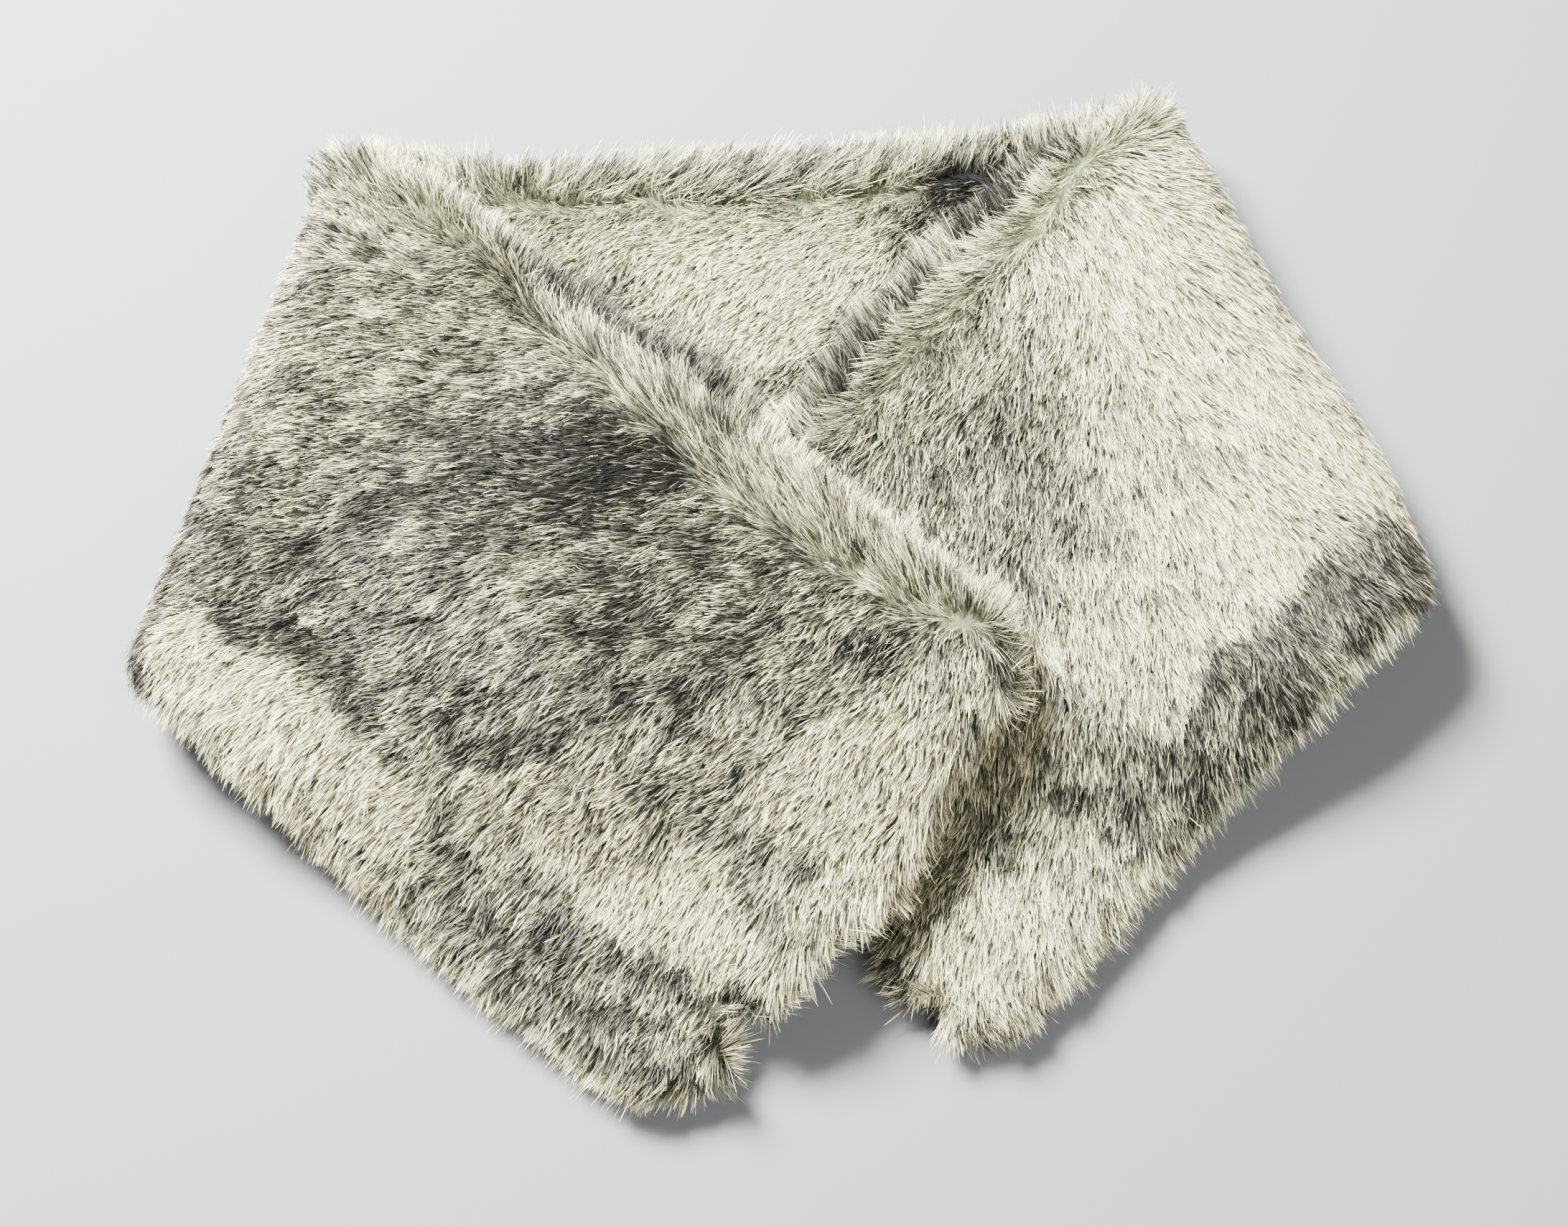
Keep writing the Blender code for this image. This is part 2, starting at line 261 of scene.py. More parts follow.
PATCHES = {
    "left": (
        Patch(-172, 86, 54, 48, 0, 0.38, 0.9), Patch(-27, -116, 66, 33, -20, 0.24, 0.85),
        Patch(26, -86, 39, 30, -20, 0.04, 0.95), Patch(-160, 143, 36, 27, 0, 0.28, 0.7),
        Patch(-182, 63, 33, 18, 60, 0.36, 0.7), Patch(-199, 89, 18, 48, -15, 0.26, 0.7),
        Patch(-106, 73, 48, 27, -20, 0.34, 0.6), Patch(-87, 31, 48, 30, -12, 0.86, 0.9),
        Patch(-104, 33, 25, 10, 12, 1.05, 1.0), Patch(-127, 21, 12, 15, 20, 0.98, 0.9),
        Patch(-68, 42, 21, 9, 14, 1.05, 1.0), Patch(-57, 24, 24, 10, 10, 1.05, 1.0),
        Patch(-86, 12, 24, 7, 6, 0.88, 0.7), Patch(-69, 3, 18, 4, 0, 0.80, 0.7),
        Patch(-119, 40, 12, 7, 10, 0.86, 0.7), Patch(-150, 15, 24, 8, 35, 0.98, 0.95),
        Patch(-172, 3, 18, 5, 15, 0.80, 0.8), Patch(-201, 3, 21, 8, -4, 0.78, 0.8),
        Patch(-211, -13, 15, 6, -10, 0.72, 0.75), Patch(-186, -10, 18, 6, -25, 0.66, 0.7),
        Patch(-152, -7, 24, 8, 10, 0.62, 0.6), Patch(-126, -1, 15, 5, 20, 0.72, 0.6),
        Patch(-179, 15, 15, 7, 10, 0.48, 0.5), Patch(-99, -28, 36, 15, 10, 0.50, 0.75),
        Patch(-124, -40, 27, 18, -30, 0.54, 0.7), Patch(-59, -31, 10, 13, 30, 0.84, 0.8),
        Patch(-73, -34, 12, 8, 10, 0.56, 0.6), Patch(-28, -31, 21, 18, 20, 0.42, 0.6),
        Patch(-19, -55, 15, 9, 20, 0.74, 0.7), Patch(-42, -62, 18, 8, 12, 0.78, 0.75),
        Patch(-56, -55, 9, 9, 0, 0.80, 0.75), Patch(-84, -55, 21, 11, 0, 0.60, 0.6),
        Patch(-100, -70, 27, 10, -20, 0.56, 0.6), Patch(-131, -79, 15, 8, -35, 0.50, 0.6),
        Patch(-66, -79, 33, 15, 10, 0.56, 0.6), Patch(-33, -84, 27, 15, 20, 0.50, 0.6),
        Patch(1, -61, 24, 15, 20, 0.44, 0.6), Patch(-17, -7, 12, 18, 30, 0.50, 0.6),
        Patch(-37, -1, 12, 14, 20, 0.74, 0.7), Patch(12, -31, 18, 15, 20, 0.36, 0.6),
        Patch(-82, -102, 39, 18, -15, 0.08, 0.9), Patch(-49, -107, 27, 15, 0, 0.34, 0.6),
        Patch(15, -90, 18, 27, -20, -0.02, 0.95), Patch(51, -70, 18, 36, -20, 0.06, 0.85),
        Patch(34, -113, 18, 36, -25, -0.06, 1.0), Patch(52, -37, 27, 15, -30, 0.24, 0.6),
        Patch(-116, -129, 30, 15, -40, 0.46, 0.85), Patch(-94, -152, 27, 13, -40, 0.54, 0.85),
        Patch(-148, -116, 18, 9, -40, 0.22, 0.8), Patch(-190, -28, 27, 8, -24, 0.74, 0.85),
        Patch(-166, -46, 24, 7, -48, 0.78, 0.85), Patch(-148, -70, 18, 5, -48, 0.70, 0.8),
        Patch(-218, -42, 17, 19, -20, -0.16, 1.0), Patch(-198, -54, 24, 18, -42, -0.16, 1.0),
        Patch(-179, -71, 24, 17, -42, -0.16, 1.0), Patch(-159, -88, 24, 16, -42, -0.14, 1.0),
        Patch(-143, -103, 20, 12, -38, -0.06, 1.0), Patch(-129, -117, 15, 10, -38, 0.30, 0.9),
        Patch(-203, -86, 33, 12, -38, -0.10, 1.0), Patch(-165, -117, 33, 11, -40, 0.06, 1.0),
        Patch(-124, -151, 30, 9, -42, 0.40, 0.9), Patch(-93, -182, 30, 9, -44, 0.44, 0.9),
        Patch(-49, -127, 30, 14, 10, -0.06, 1.0), Patch(-27, -144, 27, 12, -30, -0.08, 1.0),
        Patch(-2, -158, 18, 10, -20, 0.06, 0.95), Patch(-77, -113, 18, 10, 0, 0.28, 0.6),
        Patch(-99, -102, 30, 15, -40, 0.14, 0.85), Patch(-76, -147, 15, 12, -20, 0.60, 0.75),
        Patch(-56, -166, 21, 12, -40, 0.46, 0.7), Patch(-72, -163, 9, 6, 0, 0.72, 0.7),
        Patch(-37, -185, 27, 18, -40, 0.50, 0.8), Patch(-34, -201, 18, 12, -20, 0.42, 0.7),
        Patch(-53, -182, 12, 7, -40, 0.66, 0.7), Patch(6, -144, 7, 9, 60, 0.40, 0.5),
        Patch(66, -31, 24, 12, -35, 0.18, 0.8), Patch(77, -36, 10, 9, 0, 0.30, 0.8),
        Patch(-115, -1, 9, 4, 20, 0.90, 0.8), Patch(-139, 31, 18, 9, 20, 0.56, 0.6),
        Patch(-160, 34, 18, 12, 10, 0.40, 0.6), Patch(-49, 40, 12, 9, 10, 0.46, 0.7),
        Patch(-76, 56, 18, 9, 20, 0.50, 0.6), Patch(-161, 150, 21, 15, 0, 0.12, 1.0),
        Patch(-125, 128, 27, 17, -38, 0.24, 0.95), Patch(-90, 95, 29, 17, -40, 0.36, 0.95),
        Patch(-49, 62, 30, 16, -38, 0.23, 0.95), Patch(-9, 24, 31, 17, -38, 0.06, 0.95),
        Patch(32, -7, 29, 17, -35, 0.14, 0.95), Patch(69, -28, 21, 14, -30, 0.22, 0.9),
        Patch(-120, 63, 15, 5, 25, 0.62, 0.6), Patch(-102, 48, 18, 5, 20, 0.68, 0.6),
    ),
    "right": (
        Patch(61, 31, 54, 72, 0, 0.36, 0.85), Patch(74, 21, 39, 45, 10, 0.46, 0.85),
        Patch(53, 2, 21, 27, 0, 0.42, 0.8), Patch(45, 47, 21, 15, 30, 0.34, 0.8),
        Patch(117, 5, 15, 12, -20, 0.36, 0.7), Patch(133, 47, 18, 27, 20, 0.10, 0.9),
        Patch(165, 34, 15, 4, -20, 0.42, 0.7), Patch(147, 27, 12, 4, 0, 0.40, 0.7),
        Patch(129, 21, 9, 4, 10, 0.44, 0.6), Patch(139, -21, 18, 4, 0, 0.36, 0.7),
        Patch(158, -38, 12, 4, 10, 0.34, 0.6), Patch(186, 2, 18, 12, -40, 0.05, 0.8),
        Patch(143, -53, 21, 12, 0, 0.06, 0.9), Patch(121, -29, 18, 18, 0, 0.12, 0.8),
        Patch(227, 2, 15, 12, -50, 0.74, 0.95), Patch(233, -9, 12, 18, 10, 0.74, 0.95),
        Patch(212, -19, 25, 18, 36, 0.74, 0.95), Patch(193, -34, 27, 18, 36, 0.75, 0.95),
        Patch(173, -50, 24, 17, 38, 0.74, 0.95), Patch(188, -59, 24, 12, 35, 0.64, 0.9),
        Patch(159, -68, 18, 12, 30, 0.64, 0.95), Patch(146, -88, 21, 13, 40, 0.64, 0.95),
        Patch(166, -82, 15, 12, 40, 0.58, 0.9), Patch(127, -74, 15, 12, 0, 0.50, 0.95),
        Patch(135, -100, 12, 10, 0, 0.56, 0.95), Patch(121, -94, 12, 10, 0, 0.60, 0.9),
        Patch(86, -59, 15, 18, 0, 0.30, 0.9), Patch(105, -65, 18, 13, 10, 0.32, 0.95),
        Patch(96, -76, 18, 10, 10, 0.30, 0.95), Patch(85, -88, 15, 13, 30, 0.26, 0.95),
        Patch(70, -106, 18, 15, 40, 0.30, 0.95), Patch(64, -125, 18, 18, 60, 0.34, 0.95),
        Patch(45, -137, 18, 18, 60, 0.34, 0.95), Patch(36, -153, 15, 15, 40, 0.44, 0.95),
        Patch(81, -111, 9, 11, 40, 0.62, 0.8), Patch(101, -91, 9, 5, 20, 0.80, 0.8),
        Patch(15, 39, 12, 9, -40, 0.50, 0.8), Patch(98, -111, 15, 11, 50, 0.12, 0.95),
        Patch(83, -131, 15, 18, 50, -0.10, 1.0), Patch(69, -153, 15, 18, 50, -0.10, 1.0),
        Patch(55, -173, 15, 15, 30, -0.04, 1.0), Patch(77, -173, 15, 12, 0, 0.12, 0.9),
        Patch(117, -125, 12, 15, 40, 0.14, 0.9), Patch(132, -106, 7, 9, 20, 0.52, 0.8),
        Patch(123, -114, 9, 6, 30, 0.46, 0.7), Patch(105, -145, 15, 12, 40, 0.20, 0.8),
        Patch(82, -162, 5, 18, 20, 0.34, 0.5),
    ),
    "back": (
        Patch(-12, 115, 60, 33, 0, -0.06, 1.0), Patch(-73, 118, 18, 12, 20, 0.44, 0.8),
        Patch(-42, 95, 18, 9, -30, 0.40, 0.7), Patch(-18, 81, 15, 8, -30, 0.30, 0.6),
        Patch(50, 143, 15, 12, -40, 0.48, 0.8), Patch(31, 108, 21, 9, 50, 0.46, 0.7),
        Patch(13, 81, 18, 9, 40, 0.50, 0.8), Patch(60, 157, 12, 9, 0, 0.50, 0.8),
        Patch(-31, 176, 96, 8, 0, 0.44, 0.9), Patch(-112, 167, 15, 9, 0, 0.40, 0.7),
        Patch(79, 182, 18, 12, 20, 0.60, 0.8), Patch(-118, 146, 12, 18, 0, 0.46, 0.7),
        Patch(77, 166, 19, 16, 20, 1.05, 1.0), Patch(-4, 78, 12, 4, 45, 0.50, 0.7),
    ),
    "left under": (Patch(-45, 96, 66, 24, -33, 1.00, 1.0), Patch(-122, 145, 24, 9, -30, 0.45, 0.8)),
    "right under": (Patch(87, 167, 37, 23, 44, 0.92, 1.0), Patch(31, 95, 45, 21, 50, 0.66, 1.0)),
}
ARROWS = {
    "left": (
        Arrow(-158, 157, 95), Arrow(-172, 146, 150), Arrow(-176, 106, 188), Arrow(-198, 43, 200),
        Arrow(-214, -13, 206), Arrow(-224, -49, 220), Arrow(-130, 89, 182), Arrow(-127, 18, 190),
        Arrow(-156, -37, 205), Arrow(-175, -79, 228), Arrow(-75, 31, 188), Arrow(-73, -37, 204),
        Arrow(-111, -93, 222), Arrow(-119, -138, 233), Arrow(-22, -25, 202), Arrow(-22, -79, 220),
        Arrow(-59, -144, 236), Arrow(1, 18, 200), Arrow(29, -49, 226), Arrow(28, -105, 240),
        Arrow(-10, -158, 240), Arrow(-34, -198, 246), Arrow(62, -67, 248), Arrow(56, -107, 250),
        Arrow(11, -152, 248), Arrow(75, -58, 262), Arrow(43, -28, 215), Arrow(-40, 37, 192),
        Arrow(-88, 82, 186), Arrow(88, -49, 300), Arrow(91, -36, 350),
    ),
    "left ridge": (
        Arrow(-152, 164, 105), Arrow(-166, 164, 135), Arrow(-145, 148, 130), Arrow(-133, 150, 118),
        Arrow(-108, 129, 122), Arrow(-65, 96, 128), Arrow(-29, 56, 130), Arrow(12, 18, 128),
        Arrow(52, -13, 120), Arrow(83, -28, 65), Arrow(-121, 153, 85), Arrow(-90, 129, 88),
        Arrow(-53, 99, 92), Arrow(-11, 66, 92), Arrow(24, 34, 85), Arrow(64, 3, 75),
    ),
    "right": (
        Arrow(150, 196, 60), Arrow(158, 168, 350), Arrow(165, 133, 322), Arrow(128, 123, 290),
        Arrow(157, 92, 300), Arrow(97, 92, 258), Arrow(72, 76, 246), Arrow(24, 47, 234),
        Arrow(47, 21, 252), Arrow(86, 34, 262), Arrow(117, 21, 272), Arrow(178, 47, 300),
        Arrow(206, 27, 304), Arrow(144, -29, 284), Arrow(179, -16, 296), Arrow(225, 8, 306),
        Arrow(237, -10, 330), Arrow(206, -44, 302), Arrow(171, -59, 288), Arrow(125, -59, 268),
        Arrow(134, -103, 280), Arrow(96, -88, 258), Arrow(62, -117, 252), Arrow(89, -134, 266),
        Arrow(33, -151, 240), Arrow(55, -178, 256), Arrow(79, -181, 285), Arrow(111, -140, 278),
    ),
    "right ridge": (
        Arrow(137, 192, 110), Arrow(118, 175, 140), Arrow(102, 154, 165), Arrow(83, 130, 190),
        Arrow(61, 106, 210), Arrow(39, 82, 220), Arrow(18, 60, 226),
    ),
    "back": (
        Arrow(-99, 139, 208), Arrow(-67, 131, 222), Arrow(-30, 122, 232), Arrow(16, 115, 234),
        Arrow(50, 132, 228), Arrow(-5, 84, 236), Arrow(-112, 152, 196), Arrow(-87, 151, 198),
        Arrow(-49, 153, 200), Arrow(-12, 153, 202), Arrow(26, 156, 204), Arrow(57, 159, 216),
    ),
    "back ridge": (
        Arrow(-138, 173, 120), Arrow(-128, 160, 110), Arrow(-100, 176, 82), Arrow(-100, 164, 40),
        Arrow(-62, 175, 66), Arrow(-62, 163, 22), Arrow(-15, 176, 60), Arrow(-15, 161, 20),
        Arrow(32, 180, 64), Arrow(32, 165, 24), Arrow(64, 180, 80), Arrow(63, 168, 50),
        Arrow(95, 191, 95),
    ),
}
PARTINGS = {
    "left": (
        Place(-167, 147), Place(-139, 139), Place(-113, 122), Place(-83, 80), Place(-54, 46),
        Place(-20, 15), Place(12, -10), Place(43, -28), Place(79, -38),
    ),
    "right": (
        Place(4, 21), Place(24, 53), Place(54, 86), Place(85, 118), Place(104, 138), Place(118, 163),
        Place(133, 180), Place(138, 197),
    ),
    "back": (
        Place(-124, 156), Place(-99, 156), Place(-62, 158), Place(-18, 156), Place(26, 160),
        Place(57, 164), Place(95, 173),
    ),
}
SPOTS = {
    "left": (
        Spot(-166, 148, 8, 0.7), Spot(-151, 142, 9, 0.6), Spot(-134, 137, 12, 0.9),
        Spot(-118, 127, 12, 0.8), Spot(-104, 114, 17, 0.9), Spot(-84, 92, 14, 0.9),
        Spot(-67, 74, 13, 0.9), Spot(-40, 45, 16, 0.9), Spot(-17, 31, 13, 0.9), Spot(18, 3, 10, 0.6),
        Spot(52, -19, 10, 0.6), Spot(75, -36, 10, 1.0), Spot(-28, -153, 4, 0.7),
        Spot(-29, -163, 3, 0.7), Spot(-18, -162, 3, 0.7),
    ),
    "right": (
        Spot(118, 164, 12, 0.9), Spot(133, 180, 14, 1.0), Spot(105, 143, 13, 1.0),
        Spot(89, 123, 10, 0.6), Spot(51, 84, 13, 1.0), Spot(70, 104, 11, 0.8), Spot(33, 56, 10, 0.8),
        Spot(15, 36, 12, 1.0), Spot(69, -174, 8, 1.7),
    ),
    "back": (
        Spot(-96, 158, 18, 0.9), Spot(-74, 156, 15, 0.9), Spot(-49, 156, 12, 0.6),
        Spot(-21, 156, 12, 0.5), Spot(7, 159, 12, 0.6), Spot(35, 164, 15, 0.9), Spot(51, 165, 13, 0.8),
    ),
}


def unit(angle: float) -> Numbers:
    """The plan direction at an angle from the strip's own length."""
    return np.array((math.cos(angle + CUT.back_tilt), math.sin(angle + CUT.back_tilt)))


def ease(share: Numbers) -> Numbers:
    """A smooth step from 0 to 1."""
    share = np.clip(share, 0.0, 1.0)
    return share * share * (3 - 2 * share)


def normalised(vectors: Numbers) -> Numbers:
    """The same directions with length 1."""
    return vectors / np.maximum(np.linalg.norm(vectors, axis=-1, keepdims=True), 1e-12)


def blend(first: Numbers, second: Numbers, share: Numbers) -> Numbers:
    """The directions that are this share of the way from the first ones to the second."""
    share = share[:, None]
    return normalised(first * (1 - share) + second * share)


def swung(way: Numbers, other: Numbers, angle: Numbers) -> Numbers:
    """Directions, turned by an angle towards others that are square to them."""
    angle = angle[:, None]
    return way * np.cos(angle) + other * np.sin(angle)


def alike(vectors: Numbers, others: Numbers) -> Numbers:
    """The vectors, turned round where they point away from the others."""
    return vectors * np.where(np.einsum("ij,ij->i", vectors, others) < 0, -1.0, 1.0)[:, None]


def turned(x: Numbers, y: Numbers, angle: float) -> tuple[Numbers, Numbers]:
    """Plan distances along a direction and square to it."""
    return x * math.cos(angle) + y * math.sin(angle), y * math.cos(angle) - x * math.sin(angle)


def read(rows: tuple[Row, ...], place: Numbers) -> Numbers:
    """Reads the rows of a table, which are in order of place, at places between them.

    Args:
        rows: The rows.
        place: The places to read them at.

    Returns:
        The values there.
    """
    places = np.array([row.place for row in rows])
    values = np.array([row.value for row in rows])
    low = np.clip(np.searchsorted(places, place, side="right") - 1, 0, len(rows) - 2)
    share = (place - places[low]) / (places[low + 1] - places[low])
    return values[low] + (values[low + 1] - values[low]) * ease(share)


def lattice_noise(x: Numbers, y: Numbers, cell: float, seed: int) -> Numbers:
    """Smooth noise from 0 to 1 over a lattice of hashed corners.

    Args:
        x: Plan places.
        y: Plan places.
        cell: The lattice's step, in metres.
        seed: Which of its patterns.

    Returns:
        One value for each place.
    """
    across, up = x / cell, y / cell
    column, row = np.floor(across).astype(np.int64), np.floor(up).astype(np.int64)
    right, top = ease(across - column), ease(up - row)

    def corner(i: int, j: int) -> Numbers:
        """The value of one corner of each cell.

        Args:
            i: 0 for the corners on the left, 1 for those on the right.
            j: 0 for the near corners, 1 for the far ones.

        Returns:
            One value for each place.
        """
        mixed = (column + i) * 374761393 + (row + j) * 668265263 + seed * 974634777
        mixed &= 0xFFFFFFFF
        mixed = ((mixed ^ (mixed >> 13)) * 1274126177) & 0xFFFFFFFF
        return ((mixed ^ (mixed >> 16)) & 0xFFFF) / 0xFFFF

    low = corner(0, 0) * (1 - right) + corner(1, 0) * right
    high = corner(0, 1) * (1 - right) + corner(1, 1) * right
    return low * (1 - top) + high * top


def round_off(distance: Numbers, reach: float) -> Numbers:
    """How full the pile is at this distance in from an edge, from 0 to 1."""
    left = np.clip(1 - distance / reach, 0.0, 1.0)
    return np.sqrt(1 - left * left)


def half_width(from_end: Numbers) -> Numbers:
    """The strip's half width at this distance from its end, where its corners are round."""
    short = np.clip(CUT.corner_radius - from_end, 0.0, CUT.corner_radius)
    return CUT.half - CUT.corner_radius + np.sqrt(CUT.corner_radius**2 - short**2)


def strayed(stretch: str, share: Numbers, v: Numbers) -> Numbers:
    """The place across the strip, moved with the edge on its side where that isn't straight."""
    far, near = (read(EDGE_STRAY[f"{stretch} {edge}"], share) for edge in ("far", "near"))
    return v * (1 + np.where(v > 0, far, near) / CUT.half)


def plan_of_back(u: Numbers, v: Numbers) -> Numbers:
    """The plan place of a point of the back stretch, u along the strip and v across it."""
    middle = np.array((0.0, CUT.back_middle_y))
    return middle + u[..., None] * unit(0) + v[..., None] * unit(math.pi / 2)


def over_back(plan: Numbers) -> Numbers:
    """1 where the back stretch lies underneath, easing to 0 beside it."""
    across = (plan - (0.0, CUT.back_middle_y)) @ unit(math.pi / 2)
    return 1 - ease((-across - CUT.half - CUT.overhang) / CUT.drape_length)


@dataclass(frozen=True)
class Fold:
    """A slanted turn of the strip at one side, and the front stretch that it leads to."""

    side: str
    hand: int
    slant: float
    to_fold: float
    to_end: float

    @cached_property
    def axis(self) -> Numbers:
        """The plan direction along the fold, away from the viewer."""
        return unit(math.pi / 2 + self.hand * self.slant)

    @cached_property
    def outward(self) -> Numbers:
        """The plan direction outwards across the fold."""
        return unit(self.slant if self.hand > 0 else math.pi - self.slant)

    @cached_property
    def base(self) -> Numbers:
        """The plan place where the fold crosses the strip's centre line."""
        return plan_of_back(np.array(self.hand * self.to_fold), np.array(0.0))

    def turn(self, v: Numbers) -> Numbers:
        """The radius of the seam plane where it turns."""
        return CUT.tight_turn + read(TURN_OPENING[self.side], v / CUT.half)

    def reach(self, v: Numbers, radius: Numbers) -> Numbers:
        """How far a layer at this radius reaches outwards where the turn is widest."""
        kept = 1 - CUT.corner_loss * (1 - round_off(CUT.half - np.abs(v), CUT.edge_rounding))
        return radius * kept + read(FOLD_BULGE[self.side], v / CUT.half)

    def fold_line(self, v: Numbers) -> Numbers:
        """Where the turn begins, along the strip, at a place v across it."""
        return self.hand * (self.to_fold - v * math.tan(self.slant))

    def along(self, travel: Numbers, v: Numbers) -> Numbers:
        """The place along the fold of a point this far past the line where the turn begins."""
        return v / math.cos(self.slant) - travel * math.tan(self.slant)

    def plan(self, along: Numbers, outwards: Numbers) -> Numbers:
        """A plan place from its distances along the fold and outwards across it."""
        return self.base + along[..., None] * self.axis + outwards[..., None] * self.outward

    def end_travel(self, v: Numbers) -> Numbers:
        """How far the strip's end is past the line where the turn begins, square to it."""
        return v * math.sin(self.slant) + self.to_end * math.cos(self.slant)

    def front_length(self, v: Numbers) -> Numbers:
        """The front's length along the strip, from the end of the turn to the free end."""
        return (self.end_travel(v) - math.pi * self.turn(v)) / math.cos(self.slant)

    def front_plan(self, from_end: Numbers, v: Numbers) -> tuple[Numbers, Numbers]:
        """The plan place of a point of the front, and how far it is past the turn.

        Args:
            from_end: Distances from the strip's end.
            v: Places across the strip.

        Returns:
            The plan places and the distances.
        """
        travel = self.end_travel(v) - from_end * math.cos(self.slant)
        past = travel - math.pi * self.turn(v)
        return self.plan(self.along(travel, v), -past), past

    def over_front(self, plan: Numbers) -> Numbers:
        """1 where this front lies underneath, easing to 0 beyond its end and its far edge.

        Args:
            plan: Plan places.

        Returns:
            One share for each.
        """
        nought = np.array(0.0)
        end = self.front_plan(nought, nought)[0]
        run = normalised(self.front_plan(nought + 0.1, nought)[0] - end)
        offset = plan - end
        towards_far = self.hand * (offset[..., 1] * run[0] - offset[..., 0] * run[1])
        beyond = np.hypot(
            np.maximum(-(offset @ run), 0),
            np.maximum(towards_far - CUT.half - CUT.overhang, 0),
        )
        return 1 - ease(beyond / CUT.drape_length)

    def pressed(self, from_end: Numbers, v: Numbers) -> Numbers:
        """How far the creases press the outer pile down here.

        Args:
            from_end: Distances from the strip's end.
            v: Places across the strip.

        Returns:
            One depth for each.
        """
        pressed = np.zeros_like(v)
        for crease in CREASES[self.side]:
            along, off = from_end - crease.from_end, v - crease.across
            run, aside = turned(along, off, math.radians(crease.slant_deg))
            past = np.maximum(0.0, np.maximum(-run, run - crease.length))
            reach = np.hypot(past, aside) / crease.width
            pressed = np.maximum(pressed, crease.depth * np.exp(-reach * reach))
        return pressed


LEFT = Fold("left", -1, math.radians(21.7), 0.1872, 0.331)
RIGHT = Fold("right", 1, math.radians(19.9), 0.1726, 0.306)


class Stretch(Enum):
    """The stretches of the strip, in order from its left end to its right end."""

    LEFT_FRONT = 0
    LEFT_FOLD = 1
    BACK = 2
    RIGHT_FOLD = 3
    RIGHT_FRONT = 4


STRIP_END = len(Stretch)


